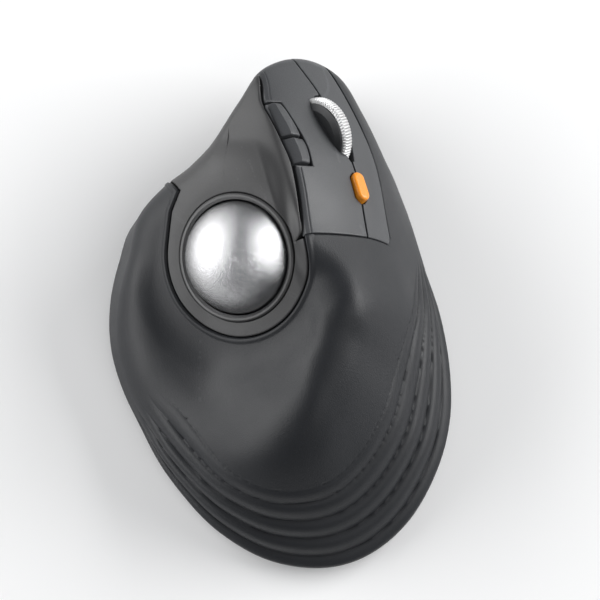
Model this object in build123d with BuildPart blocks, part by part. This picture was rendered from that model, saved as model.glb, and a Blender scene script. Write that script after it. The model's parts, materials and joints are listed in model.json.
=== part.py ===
"""Ergonomic thumb-ball mouse, built as separate named pieces.

Frame: millimetres, +Z up, +Y towards the finger end, +X to the right.
The origin is on the desk, under the middle of the mouse.
"""

import os
from math import atan2, cos, degrees, radians, sin, sqrt

from build123d import *

os.makedirs("parts", exist_ok=True)

# ---------------------------------------------------------------- driving sizes
FOOT_HEIGHT = 0.8
SKIRT_BOTTOM = 1.6
RIM_HEIGHT = 5.0
WALL = 2.0
CASE_FLOOR_TOP = 3.0
SURFACE_STEP = 6.0

# The rim seen from above: direction from the origin in degrees, radius, and how far
# the outer wall leans in for each millimetre it rises.
RIM = [
    (0, 49.4, 0.385), (15, 51.4, 0.35), (30, 57.0, 0.31), (42, 64.5, 0.22), (52, 72.0, 0.10),
    (60, 79.6, 0.04), (68, 80.2, 0.03), (76, 73.8, 0.03), (84, 62.8, 0.03), (94, 54.0, 0.03),
    (104, 51.3, 0.04), (115, 54.0, 0.12), (127, 56.0, 0.25), (140, 53.3, 0.33), (155, 51.7, 0.35),
    (170, 50.7, 0.35), (185, 50.0, 0.35), (200, 50.4, 0.37), (212, 52.6, 0.42), (225, 56.7, 0.50),
    (240, 63.5, 0.62), (255, 70.0, 0.76), (270, 73.3, 0.90), (285, 71.5, 0.98), (300, 66.1, 0.92),
    (315, 59.2, 0.78), (330, 53.8, 0.60), (345, 50.4, 0.45),
]

# The top surface: stations along Y, with the ridge line (x and z), how fast the thumb
# side falls away from it, the height of the thumb wing and the rounding of the ridge.
STATION_Y = [-82, -70, -57, -44, -30, -14, -2, 13, 28, 43, 58, 76]
RIDGE_X = [-4, -3, -1, 2, 6, 10, 12, 12.9, 12.9, 12.9, 13.0, 13.6]
RIDGE_Z = [8, 21, 34, 45, 53, 56.5, 56, 54, 52.2, 50.3, 47.2, 41]
THUMB_SLOPE = [0.5, 0.6, 0.75, 0.9, 1.0, 0.98, 0.85, 0.66, 0.52, 0.47, 0.46, 0.46]
WING_Z = [6, 12, 17, 20, 22, 24, 25.5, 27, 27, 25, 22, 20]
RIDGE_ROUND = [22, 20, 18, 16, 14, 10, 6, 1.5, 1.0, 1.0, 1.0, 1.0]
FINGER_SLOPE = 0.487
FINGER_CURVE = 0.0104
WING_RISE = 0.10
WING_START = 30.0
WING_BLEND = 9.0

# The thumb ball and its ring
BALL_RADIUS = 17.0
BALL_CENTRE = Vector(-4.8, 16.5, 36.0)
RING_LIFT = 4.5
RING_PLANE = Plane(
    origin=BALL_CENTRE + Vector(-0.514, -0.172, 0.840).normalized() * RING_LIFT,
    x_dir=(0.853, 0, 0.522),
    z_dir=(-0.514, -0.172, 0.840),
)
RING_OUTER = 18.6
RING_OPENING = 16.85
PANEL_RADIUS = 23.1
FLAT_RADIUS = 20.5
BLEND_RADIUS = 38.0
RIDGE_HOLD = 7.0
RIDGE_HOLD_END = 3.0
SEAM = 0.3

# The finger buttons, drawn on their own slanted plane
BUTTON_PLANE = Plane(origin=(12.9, 13.4, 54.0), x_dir=(0.832, -0.124, -0.540), z_dir=(0.553, 0.121, 0.824))
BUTTON_NORMAL = Axis(BUTTON_PLANE.origin, BUTTON_PLANE.z_dir)
BUTTON_GAP = 0.4
RIDGE_GAP = 0.9
SKIRT_DEPTH = 10.0
PRESS_ROOM = 1.6
PIVOT_V = -3.2
PIVOT_W = -6.2
PIN_RADIUS = 1.0
FIT = 0.05

# The scroll wheel
WHEEL_RADIUS = 11.2
WHEEL_U = 18.9
WHEEL_V = 36.9
WHEEL_W = -3.9
WHEEL_TURN = 19.9
TREAD_WIDTH = 3.4
RIB_COUNT = 60


# ---------------------------------------------------------------- surface formulas
def keyed(value, stations, heights):
    """Smooth curve through the given stations, flat beyond its ends."""
    count = len(stations)
    value = min(max(value, stations[0]), stations[-1])
    index = 0
    while index < count - 2 and value > stations[index + 1]:
        index += 1

    def slope(at):
        low = max(at - 1, 0)
        high = min(at + 1, count - 1)
        return (heights[high] - heights[low]) / (stations[high] - stations[low])

    width = stations[index + 1] - stations[index]
    t = (value - stations[index]) / width
    start = (1 + 2 * t) * (1 - t) ** 2 * heights[index]
    leave = t * (1 - t) ** 2 * width * slope(index)
    end = t * t * (3 - 2 * t) * heights[index + 1]
    arrive = t * t * (t - 1) * width * slope(index + 1)
    return start + leave + end + arrive


def around(direction, column):
    """A RIM column at any direction, wrapped round the full turn."""
    turn = direction % 360
    keys = [(RIM[-1][0] - 360, RIM[-1][column])]
    keys += [(row[0], row[column]) for row in RIM]
    keys += [(RIM[0][0] + 360, RIM[0][column]), (RIM[1][0] + 360, RIM[1][column])]
    return keyed(turn, [key[0] for key in keys], [key[1] for key in keys])


def smooth_min(first, second, blend):
    near = max(blend - abs(first - second), 0) / blend
    return min(first, second) - near * near * blend / 4


def crown(x, y):
    """Height of the top surface, before the outer wall cuts it."""
    ridge_z = keyed(y, STATION_Y, RIDGE_Z)
    rounding = keyed(y, STATION_Y, RIDGE_ROUND)
    side = x - keyed(y, STATION_Y, RIDGE_X)
    soft = sqrt(side * side + rounding * rounding) - rounding
    if side > 0:
        drop = FINGER_SLOPE * soft + FINGER_CURVE * side * side
    else:
        to_wing = ridge_z - keyed(y, STATION_Y, WING_Z) - WING_RISE * (side + WING_START)
        drop = smooth_min(keyed(y, STATION_Y, THUMB_SLOPE) * soft, to_wing, WING_BLEND)
    height = ridge_z - drop
    ring = RING_PLANE.origin
    normal = RING_PLANE.z_dir
    flat = ring.Z - ((x - ring.X) * normal.X + (y - ring.Y) * normal.Y) / normal.Z
    reach = sqrt((x - ring.X) ** 2 + (y - ring.Y) ** 2 + (flat - ring.Z) ** 2)
    share = min(max((BLEND_RADIUS - reach) / (BLEND_RADIUS - FLAT_RADIUS), 0), 1)
    share = share * share * (3 - 2 * share)
    hold = min(max((RIDGE_HOLD_END - side) / RIDGE_HOLD, 0), 1)
    share = share * hold * hold * (3 - 2 * hold)
    return height * (1 - share) + flat * share


def crown_face(depth):
    """The crown as one smooth face, sunk by depth measured square to it."""
    x_count = 20
    y_count = 28
    rows = []
    for i in range(x_count):
        x = SURFACE_STEP * (i - (x_count - 1) / 2)
        row = []
        for j in range(y_count):
            y = SURFACE_STEP * (j - (y_count - 1) / 2)
            slope_x = crown(x + 0.5, y) - crown(x - 0.5, y)
            slope_y = crown(x, y + 0.5) - crown(x, y - 0.5)
            sink = depth * sqrt(1 + slope_x * slope_x + slope_y * slope_y)
            row.append(Vector(x, y, crown(x, y) - sink))
        rows.append(row)
    return Face.make_surface_from_array_of_points(rows, tol=0.05, min_deg=3, max_deg=3)


def rim_points(height, inset):
    """The rim outline at a height, moved in by inset measured square to the wall."""
    points = []
    for direction in range(0, 360, 10):
        lean = around(direction, 2)
        radius = around(direction, 1) - lean * max(height - RIM_HEIGHT, 0) - inset * sqrt(1 + lean * lean)
        points.append((radius * cos(radians(direction)), radius * sin(radians(direction))))
    return points


OUTER_CROWN = crown_face(0)
INNER_CROWN = crown_face(WALL)
TOP_HEIGHT = 62.0

# ---------------------------------------------------------------- outer form and cavity
with BuildPart() as outer_form:
    with BuildSketch(Plane.XY.offset(SKIRT_BOTTOM)):
        with BuildLine():
            Spline(*rim_points(SKIRT_BOTTOM, 0), periodic=True)
        make_face()
    extrude(amount=RIM_HEIGHT - SKIRT_BOTTOM)
    with BuildSketch(Plane.XY.offset(RIM_HEIGHT)):
        with BuildLine():
            Spline(*rim_points(RIM_HEIGHT, 0), periodic=True)
        make_face()
    with BuildSketch(Plane.XY.offset(TOP_HEIGHT)):
        with BuildLine():
            Spline(*rim_points(TOP_HEIGHT, 0), periodic=True)
        make_face()
    loft(ruled=True)
    split(bisect_by=OUTER_CROWN, keep=Keep.BOTTOM)

with BuildPart() as cavity:
    with BuildSketch(Plane.XY.offset(SKIRT_BOTTOM - 1)):
        with BuildLine():
            Spline(*rim_points(RIM_HEIGHT, WALL), periodic=True)
        make_face()
    extrude(amount=RIM_HEIGHT - SKIRT_BOTTOM + 1)
    with BuildSketch(Plane.XY.offset(RIM_HEIGHT)):
        with BuildLine():
            Spline(*rim_points(RIM_HEIGHT, WALL), periodic=True)
        make_face()
    with BuildSketch(Plane.XY.offset(TOP_HEIGHT)):
        with BuildLine():
            Spline(*rim_points(TOP_HEIGHT, WALL), periodic=True)
        make_face()
    loft(ruled=True)
    split(bisect_by=INNER_CROWN, keep=Keep.BOTTOM)

with BuildPart() as whole_shell:
    add(outer_form.part)
    add(cavity.part, mode=Mode.SUBTRACT)

# ---------------------------------------------------------------- zones the shell is cut along
# Points on the button plane: across the fingers, then forward.
GAP_LINE = [(0, 0), (1.2, 21.3), (-0.4, 31.3), (-2.4, 44.2), (-0.3, 54.0), (1.0, 78.0)]
SPLIT_LINE = [(22.4, -1.5), (24.0, 14.0), (24.3, 22.0), (22.0, 38.0), (18.4, 50.5), (14.9, 60.0), (9.0, 78.0)]
FINGER_EDGE = [(34.2, 3.0), (35.0, 20.0), (34.3, 31.0), (29.4, 53.4), (25.0, 68.0)]
SIDE_ARC = [(8.3, 21.9), (8.2, 28.4), (6.8, 34.0), (3.6, 43.6)]
REAR_CORNER = (31.2, 0.0)
FRONT_V = 78.0


def shifted(points, amount):
    return [(u + amount, v) for u, v in points]


def thumb_prism(grow):
    """The thumb side: disc around the ball, strip to the wing and front-left flank."""
    with BuildPart() as prism:
        with BuildSketch(RING_PLANE.offset(-9)):
            Circle(PANEL_RADIUS + grow)
            with BuildLine():
                Polyline((-20.2, 11.2), (-14.8, 20.4), (-7.2, 28.0), (6.0, 32.0), (10.0, -2.0), (-20.2, 11.2))
            make_face()
        extrude(amount=20)
        with BuildSketch(Plane.XY):
            with BuildLine():
                Polyline(
                    (-17.5, 41), (-31, 84), (18.5, 90), (17.6, 57), (17.6, 16.5), (12.9, 13.4), (-17.5, 41)
                )
            make_face()
            if grow > 0:
                offset(amount=grow, kind=Kind.INTERSECTION)
        extrude(amount=70)
    return prism.part


with BuildPart() as button_zone:
    with BuildSketch(BUTTON_PLANE.offset(-SKIRT_DEPTH - PRESS_ROOM)):
        with BuildLine():
            Spline(*GAP_LINE)
            Polyline(GAP_LINE[-1], (20.0, FRONT_V), FINGER_EDGE[-1])
            Spline(*reversed(FINGER_EDGE))
            Polyline(FINGER_EDGE[0], REAR_CORNER, GAP_LINE[0])
        make_face()
    extrude(amount=SKIRT_DEPTH + PRESS_ROOM + 15)

with BuildPart() as side_zone:
    with BuildSketch(BUTTON_PLANE.offset(-SKIRT_DEPTH)):
        with BuildLine():
            Spline(*SIDE_ARC)
            Polyline(SIDE_ARC[-1], (-6.0, 43.6), (-6.0, 21.9), SIDE_ARC[0])
        make_face()
    extrude(amount=SKIRT_DEPTH + 15)

# ---------------------------------------------------------------- palm shell and thumb panel
BOSS_RADIUS = 3.2
BOSS_TOP = 16.0
RIB_THICKNESS = 1.4
PILOT_RADIUS = 0.85
PALM_SCREWS = [(-33.0, -18.0), (8.0, -58.0), (36.0, -14.0), (-38.0, 22.0), (40.5, 40.5)]
PANEL_SCREWS = [(0.0, 51.0)]
PORT_X = 28.0
PORT_Z = 9.9


def boss_with_rib(x, y):
    """A screw boss tied to the outer wall by a rib, still reaching past the shell."""
    direction = degrees(atan2(y, x))
    with BuildPart() as boss:
        with BuildSketch(Plane.XY.offset(CASE_FLOOR_TOP + 0.3)):
            with Locations((x, y)):
                Circle(BOSS_RADIUS)
        extrude(amount=BOSS_TOP - CASE_FLOOR_TOP - 0.3)
        with BuildSketch(Plane.XY.offset(CASE_FLOOR_TOP + 3)):
            with Locations(Location((x, y, 0), (0, 0, direction))):
                Rectangle(22, RIB_THICKNESS, align=(Align.MIN, Align.CENTER))
        extrude(amount=BOSS_TOP - CASE_FLOOR_TOP - 3)
        add(outer_form.part, mode=Mode.INTERSECT)
    return boss.part


palm_bosses = [boss_with_rib(x, y) for x, y in PALM_SCREWS]
panel_bosses = [boss_with_rib(x, y) for x, y in PANEL_SCREWS]
wide_thumb_zone = thumb_prism(SEAM)
thumb_zone = thumb_prism(0)

with BuildPart() as palm_shell:
    add(whole_shell.part)
    add(palm_bosses)
    add(button_zone.part, mode=Mode.SUBTRACT)
    add(wide_thumb_zone, mode=Mode.SUBTRACT)
    with BuildSketch(Plane.XY):
        with Locations(*PALM_SCREWS):
            Circle(PILOT_RADIUS)
    extrude(amount=BOSS_TOP - 2, mode=Mode.SUBTRACT)
    with BuildSketch(Plane.XZ.offset(-60)):
        with Locations((PORT_X, PORT_Z)):
            RectangleRounded(9.8, 4.0, 1.9)
    extrude(amount=-30, mode=Mode.SUBTRACT)
palm_shell.part.label = "palm_shell"
export_step(palm_shell.part, "parts/palm_shell.step")

with BuildPart() as thumb_panel:
    add(whole_shell.part)
    add(panel_bosses)
    add(thumb_zone, mode=Mode.INTERSECT)
    add(button_zone.part, mode=Mode.SUBTRACT)
    with BuildSketch(RING_PLANE.offset(-12)):
        Circle(RING_OUTER + 0.15)
    extrude(amount=30, mode=Mode.SUBTRACT)
    with BuildSketch(Plane.XY):
        with Locations(*PANEL_SCREWS):
            Circle(PILOT_RADIUS)
    extrude(amount=BOSS_TOP - 2, mode=Mode.SUBTRACT)
thumb_panel.part.label = "thumb_panel"
export_step(thumb_panel.part, "parts/thumb_panel.step")

# ---------------------------------------------------------------- finger buttons
KNUCKLE_RADIUS = 1.8
KNUCKLE_WIDTH = 2.4
LEFT_KNUCKLES = [9.2, 16.2]
RIGHT_KNUCKLES = [24.6, 29.4]
BOARD_TOP = -11.3
MICRO_HEIGHT = 6.5
MICRO_LIFT = 0.6
TACT_HEIGHT = 3.3
TACT_LIFT = 1.2
WHEEL_PLANE = Plane(
    origin=BUTTON_PLANE.from_local_coords((WHEEL_U, WHEEL_V, 0)),
    x_dir=BUTTON_PLANE.x_dir * cos(radians(WHEEL_TURN)) + BUTTON_PLANE.y_dir * sin(radians(WHEEL_TURN)),
    z_dir=BUTTON_PLANE.z_dir,
)
DPI_U = 23.9
DPI_V = 16.6
DPI_WIDTH = 4.0
DPI_LENGTH = 9.4
SLOT_WIDTH = 7.8
SLOT_LENGTH = 24.6
PLUNGER_TOP = BOARD_TOP + MICRO_HEIGHT + MICRO_LIFT
MICRO_SPOTS = {"left": (-11.5, -5.6), "right": (8.6, -2.0)}


def hinge_arm(across):
    """One arm from the button's underside back and down to its barrel on the pin."""
    plane = Plane(
        origin=BUTTON_PLANE.from_local_coords((across - KNUCKLE_WIDTH / 2, 0, 0)),
        x_dir=BUTTON_PLANE.y_dir,
        z_dir=BUTTON_PLANE.x_dir,
    )
    with BuildPart() as arm:
        with BuildSketch(plane):
            with BuildLine():
                Polyline((1.0, 2.0), (4.6, 2.0), (4.6, -5.2), (PIVOT_V, PIVOT_W - KNUCKLE_RADIUS))
                Polyline((PIVOT_V, PIVOT_W - KNUCKLE_RADIUS), (PIVOT_V, PIVOT_W + KNUCKLE_RADIUS))
                Polyline((PIVOT_V, PIVOT_W + KNUCKLE_RADIUS), (1.0, PIVOT_W + KNUCKLE_RADIUS), (1.0, 2.0))
            make_face()
            with Locations((PIVOT_V, PIVOT_W)):
                Circle(KNUCKLE_RADIUS)
        extrude(amount=KNUCKLE_WIDTH)
        add(outer_form.part, mode=Mode.INTERSECT)
        with BuildSketch(plane.offset(-1)):
            with Locations((PIVOT_V, PIVOT_W)):
                Circle(PIN_RADIUS + FIT)
        extrude(amount=KNUCKLE_WIDTH + 2, mode=Mode.SUBTRACT)
    return arm.part


def pusher(spot):
    """The post under a button that reaches its switch plunger."""
    with BuildPart() as post:
        with BuildSketch(WHEEL_PLANE.offset(PLUNGER_TOP + 0.05)):
            with Locations(spot):
                Circle(1.5)
        extrude(amount=12)
        add(outer_form.part, mode=Mode.INTERSECT)
    return post.part


with BuildPart() as wheel_slot:
    with BuildSketch(WHEEL_PLANE.offset(-SKIRT_DEPTH)):
        SlotOverall(SLOT_LENGTH, SLOT_WIDTH, rotation=90)
    extrude(amount=SKIRT_DEPTH + 15)
    with BuildSketch(BUTTON_PLANE.offset(-SKIRT_DEPTH)):
        with Locations((DPI_U, DPI_V)):
            SlotOverall(DPI_LENGTH + 2 * BUTTON_GAP, DPI_WIDTH + 2 * BUTTON_GAP, rotation=92)
    extrude(amount=SKIRT_DEPTH + 15)

# Room under the button skins for the wheel carrier's cheeks.
with BuildPart() as carrier_room:
    with BuildSketch(WHEEL_PLANE.offset(-SKIRT_DEPTH)):
        Rectangle(11.4, 9.0)
    extrude(amount=SKIRT_DEPTH - 1.3)

with BuildPart() as left_button:
    with BuildSketch(BUTTON_PLANE.offset(-SKIRT_DEPTH)):
        with BuildLine():
            Spline(*shifted(GAP_LINE, RIDGE_GAP))
            Polyline((GAP_LINE[-1][0] + RIDGE_GAP, FRONT_V), (SPLIT_LINE[-1][0] - BUTTON_GAP / 2, FRONT_V))
            Spline(*reversed(shifted(SPLIT_LINE, -BUTTON_GAP / 2)))
            Polyline((SPLIT_LINE[0][0] - BUTTON_GAP / 2, SPLIT_LINE[0][1]), (RIDGE_GAP, SPLIT_LINE[0][1]))
            Line((RIDGE_GAP, SPLIT_LINE[0][1]), (RIDGE_GAP, 0))
        make_face()
    extrude(amount=SKIRT_DEPTH + 15)
    with BuildSketch(BUTTON_PLANE.offset(-SKIRT_DEPTH)):
        with Locations((0, BUTTON_GAP)):
            Rectangle(60, 20, align=(Align.CENTER, Align.MAX))
    extrude(amount=SKIRT_DEPTH + 15, mode=Mode.SUBTRACT)
    add(whole_shell.part, mode=Mode.INTERSECT)
    add(side_zone.part, mode=Mode.SUBTRACT)
    add(carrier_room.part, mode=Mode.SUBTRACT)
    add([hinge_arm(across) for across in LEFT_KNUCKLES])
    add(pusher(MICRO_SPOTS["left"]))
    add(wheel_slot.part, mode=Mode.SUBTRACT)
left_button.part.label = "left_button"
export_step(left_button.part, "parts/left_button.step")

with BuildPart() as right_button:
    with BuildSketch(BUTTON_PLANE.offset(-SKIRT_DEPTH)):
        with BuildLine():
            Spline(*shifted(SPLIT_LINE, BUTTON_GAP / 2))
            Polyline((SPLIT_LINE[-1][0] + BUTTON_GAP / 2, FRONT_V), (20.0, FRONT_V))
            Line((20.0, FRONT_V), (FINGER_EDGE[-1][0] - BUTTON_GAP, FINGER_EDGE[-1][1]))
            Spline(*reversed(shifted(FINGER_EDGE, -BUTTON_GAP)))
            Polyline((FINGER_EDGE[0][0] - BUTTON_GAP, FINGER_EDGE[0][1]), (31.0, BUTTON_GAP), (28.0, -1.5))
            Line((28.0, -1.5), (SPLIT_LINE[0][0] + BUTTON_GAP / 2, -1.5))
        make_face()
    extrude(amount=SKIRT_DEPTH + 15)
    with BuildSketch(BUTTON_PLANE.offset(-SKIRT_DEPTH)):
        with Locations((0, BUTTON_GAP)):
            Rectangle(80, 20, align=(Align.CENTER, Align.MAX))
    extrude(amount=SKIRT_DEPTH + 15, mode=Mode.SUBTRACT)
    add(whole_shell.part, mode=Mode.INTERSECT)
    add(carrier_room.part, mode=Mode.SUBTRACT)
    add([hinge_arm(across) for across in RIGHT_KNUCKLES])
    add(pusher(MICRO_SPOTS["right"]))
    add(wheel_slot.part, mode=Mode.SUBTRACT)
right_button.part.label = "right_button"
export_step(right_button.part, "parts/right_button.step")


SIDE_SWITCHES = {"forward_button": (31.7, 43.1, 2.4, 37.0), "back_button": (22.4, 30.9, 3.0, 26.2)}
CAP_DEPTH = -3.4
CAP_TOP = 1.3


def stem_to_switch(u, v, top):
    """A round stem from a cap down to the plunger of its tact switch."""
    with BuildPart() as stem:
        with BuildSketch(BUTTON_PLANE.offset(BOARD_TOP + TACT_HEIGHT + TACT_LIFT + 0.05)):
            with Locations((u, v)):
                Circle(1.3)
        extrude(amount=top - BOARD_TOP - TACT_HEIGHT - TACT_LIFT - 0.05)
    return stem.part


def side_button(start_v, end_v, switch_u, switch_v):
    """A proud cap on the ridge with a stem down to its switch."""
    low_left = GAP_LINE[1][0] + RIDGE_GAP / 2
    high_left = GAP_LINE[3][0] + RIDGE_GAP / 2
    with BuildPart() as cap:
        with BuildSketch(BUTTON_PLANE.offset(CAP_DEPTH)):
            with BuildLine():
                Spline(*shifted(SIDE_ARC, -BUTTON_GAP))
                Polyline((SIDE_ARC[-1][0] - BUTTON_GAP, 43.6), (high_left, 43.6), (low_left, 21.9))
                Line((low_left, 21.9), (SIDE_ARC[0][0] - BUTTON_GAP, 21.9))
            make_face()
            with Locations((3.0, (start_v + end_v) / 2)):
                Rectangle(30, end_v - start_v, mode=Mode.INTERSECT)
        extrude(amount=CAP_TOP - CAP_DEPTH)
        fillet(cap.edges().filter_by(BUTTON_NORMAL), radius=0.8)
        chamfer(cap.faces().sort_by(BUTTON_NORMAL)[-1].edges(), 0.7)
        add(stem_to_switch(switch_u, switch_v, CAP_DEPTH + 1))
    return cap.part


for cap_name, (start_v, end_v, switch_u, switch_v) in SIDE_SWITCHES.items():
    side_cap = side_button(start_v, end_v, switch_u, switch_v)
    side_cap.label = cap_name
    export_step(side_cap, f"parts/{cap_name}.step")

with BuildPart() as dpi_button:
    with BuildSketch(BUTTON_PLANE.offset(-3.0)):
        with Locations((DPI_U, DPI_V)):
            SlotOverall(DPI_LENGTH, DPI_WIDTH, rotation=92)
    extrude(amount=4.4)
    fillet(dpi_button.faces().sort_by(BUTTON_NORMAL)[-1].edges(), radius=0.9)
    add(stem_to_switch(DPI_U, DPI_V, -2.0))
dpi_button.part.label = "dpi_button"
export_step(dpi_button.part, "parts/dpi_button.step")

with BuildPart() as button_pin:
    pin_start = BUTTON_PLANE.from_local_coords((7.6, PIVOT_V, PIVOT_W))
    with BuildSketch(Plane(pin_start, z_dir=BUTTON_PLANE.x_dir)):
        Circle(PIN_RADIUS)
    extrude(amount=23.6)
button_pin.part.label = "button_pin"
export_step(button_pin.part, "parts/button_pin.step")

# ---------------------------------------------------------------- button frame, board and switches
FRAME_TOP = -12.4
FRAME_BOTTOM = -14.0
LUG_SPOTS = [13.9, 20.2, 27.0]
LUG_WIDTH = 2.0
POST_SPOTS = [(28.0, 11.0), (33.0, 50.0), (13.5, 45.0)]
GUIDE_SPOTS = [(0, -15.0), (-5.6, 12.6)]
FRAME_OUTLINE = [
    (12.8, -5.0), (31.0, -5.0), (31.0, 44.0), (24.0, 57.6), (6.5, 57.6), (2.0, 47.0),
    (2.0, 23.5), (12.8, 21.0),
]
BOARD_OUTLINE = [
    (13.4, 2.0), (30.8, 2.0), (30.8, 43.6), (23.6, 57.2), (7.0, 57.2), (0.8, 46.0), (0.4, 22.8), (13.4, 18.5),
]
FRAME_SCREWS = [(17.0, 5.0), (28.7, 24.0), (5.6, 49.0)]

with BuildPart() as button_frame:
    with BuildSketch(BUTTON_PLANE.offset(FRAME_BOTTOM)):
        Polygon(*FRAME_OUTLINE, align=None)
    extrude(amount=FRAME_TOP - FRAME_BOTTOM)
    for across in LUG_SPOTS:
        with BuildSketch(
            Plane(
                BUTTON_PLANE.from_local_coords((across - LUG_WIDTH / 2, PIVOT_V, PIVOT_W)),
                x_dir=BUTTON_PLANE.y_dir,
                z_dir=BUTTON_PLANE.x_dir,
            )
        ):
            Circle(KNUCKLE_RADIUS)
            Rectangle(2 * KNUCKLE_RADIUS, PIVOT_W - FRAME_BOTTOM, align=(Align.CENTER, Align.MAX))
            Circle(PIN_RADIUS, mode=Mode.SUBTRACT)
        extrude(amount=LUG_WIDTH)
    with BuildSketch(WHEEL_PLANE.offset(FRAME_BOTTOM)):
        with Locations(*GUIDE_SPOTS):
            Circle(1.0)
    extrude(amount=-4.6 - FRAME_BOTTOM)
    with BuildSketch(WHEEL_PLANE.offset(FRAME_BOTTOM - 1)):
        Rectangle(8.4, 21.0)
    extrude(amount=FRAME_TOP - FRAME_BOTTOM + 2, mode=Mode.SUBTRACT)
    with BuildSketch(BUTTON_PLANE.offset(FRAME_BOTTOM - 1)):
        with Locations(*FRAME_SCREWS):
            Circle(PILOT_RADIUS)
    extrude(amount=FRAME_TOP - FRAME_BOTTOM + 2, mode=Mode.SUBTRACT)

with BuildPart() as frame_posts:
    with BuildSketch(Plane.XY.offset(CASE_FLOOR_TOP)):
        with Locations(*POST_SPOTS):
            Circle(2.4)
    extrude(amount=40)
    split(bisect_by=BUTTON_PLANE.offset(FRAME_BOTTOM + 0.5), keep=Keep.BOTTOM)

with BuildPart() as button_frame_whole:
    add(button_frame.part)
    add(frame_posts.part)
    # Relieved where the thumb panel's front wall passes close by
    add(thumb_panel.part, mode=Mode.SUBTRACT)
button_frame_whole.part.label = "button_frame"
export_step(button_frame_whole.part, "parts/button_frame.step")

with BuildPart() as button_board:
    with BuildSketch(BUTTON_PLANE.offset(FRAME_TOP)):
        Polygon(*BOARD_OUTLINE, align=None)
        with Locations(*FRAME_SCREWS):
            Circle(1.1, mode=Mode.SUBTRACT)
    extrude(amount=BOARD_TOP - FRAME_TOP)
    with BuildSketch(WHEEL_PLANE.offset(FRAME_TOP - 1)):
        Rectangle(8.4, 21.0)
        with Locations(*GUIDE_SPOTS):
            Circle(1.3)
    extrude(amount=4, mode=Mode.SUBTRACT)
button_board.part.label = "button_board"
export_step(button_board.part, "parts/button_board.step")

with BuildPart() as frame_screws:
    with BuildSketch(BUTTON_PLANE.offset(BOARD_TOP)):
        with Locations(*FRAME_SCREWS):
            Circle(1.7)
    extrude(amount=1.0)
    with BuildSketch(BUTTON_PLANE.offset(FRAME_BOTTOM - 1.5)):
        with Locations(*FRAME_SCREWS):
            Circle(0.8)
    extrude(amount=BOARD_TOP - FRAME_BOTTOM + 1.5)
frame_screws.part.label = "frame_screws"
export_step(frame_screws.part, "parts/frame_screws.step")


def micro_switch(spot):
    """The clicking switch under a main button, with the well for its plunger."""
    with BuildPart() as switch:
        with BuildSketch(WHEEL_PLANE.offset(BOARD_TOP)):
            with Locations(spot):
                Rectangle(5.8, 12.8)
        extrude(amount=MICRO_HEIGHT)
        with BuildSketch(WHEEL_PLANE.offset(BOARD_TOP + MICRO_HEIGHT - 2.4)):
            with Locations(spot):
                Circle(1.55)
        extrude(amount=3, mode=Mode.SUBTRACT)
    return switch.part


def micro_plunger(spot):
    with BuildPart() as plunger:
        with BuildSketch(WHEEL_PLANE.offset(PLUNGER_TOP - MICRO_LIFT - 1.2)):
            with Locations(spot):
                Circle(1.2)
        extrude(amount=MICRO_LIFT + 1.2)
    return plunger.part


for side_name, spot in MICRO_SPOTS.items():
    switch_part = micro_switch(spot)
    switch_part.label = f"{side_name}_micro_switch"
    export_step(switch_part, f"parts/{side_name}_micro_switch.step")
    plunger_part = micro_plunger(spot)
    plunger_part.label = f"{side_name}_plunger"
    export_step(plunger_part, f"parts/{side_name}_plunger.step")


def tact_switch(plane, u, v):
    with BuildPart() as switch:
        with BuildSketch(plane):
            with Locations((u, v)):
                Rectangle(6.0, 6.0)
        extrude(amount=TACT_HEIGHT)
        with BuildSketch(plane.offset(TACT_HEIGHT - 1.8)):
            with Locations((u, v)):
                Circle(1.75)
        extrude(amount=3, mode=Mode.SUBTRACT)
    return switch.part


def tact_plunger(plane, u, v):
    with BuildPart() as plunger:
        with BuildSketch(plane.offset(TACT_HEIGHT - 0.9)):
            with Locations((u, v)):
                Circle(1.4)
        extrude(amount=0.9 + TACT_LIFT)
    return plunger.part


TACT_SPOTS = {
    "forward": (BUTTON_PLANE.offset(BOARD_TOP), 2.4, 37.0),
    "back": (BUTTON_PLANE.offset(BOARD_TOP), 3.0, 26.2),
    "dpi": (BUTTON_PLANE.offset(BOARD_TOP), DPI_U, DPI_V),
    "wheel": (WHEEL_PLANE.offset(BOARD_TOP), 0, 16.8),
}
for tact_name, (plane, u, v) in TACT_SPOTS.items():
    switch_part = tact_switch(plane, u, v)
    switch_part.label = f"{tact_name}_switch"
    export_step(switch_part, f"parts/{tact_name}_switch.step")
    plunger_part = tact_plunger(plane, u, v)
    plunger_part.label = f"{tact_name}_plunger"
    export_step(plunger_part, f"parts/{tact_name}_plunger.step")

# ---------------------------------------------------------------- scroll wheel
WHEEL_AXIS_PLANE = Plane(
    origin=WHEEL_PLANE.from_local_coords((0, 0, WHEEL_W)),
    x_dir=WHEEL_PLANE.z_dir,
    z_dir=WHEEL_PLANE.x_dir,
)
HUB_WIDTH = 6.0
RIM_INNER = 9.3
AXLE_RADIUS = 1.0
CHEEK_INNER = 3.6
CHEEK_THICKNESS = 1.1

with BuildPart() as scroll_tyre:
    with BuildSketch(WHEEL_AXIS_PLANE.offset(-TREAD_WIDTH / 2)):
        Circle(WHEEL_RADIUS)
        Circle(RIM_INNER, mode=Mode.SUBTRACT)
        with PolarLocations(WHEEL_RADIUS, RIB_COUNT):
            Rectangle(0.7, 0.45, mode=Mode.SUBTRACT)
    extrude(amount=TREAD_WIDTH)
scroll_tyre.part.label = "scroll_tyre"
export_step(scroll_tyre.part, "parts/scroll_tyre.step")

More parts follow.
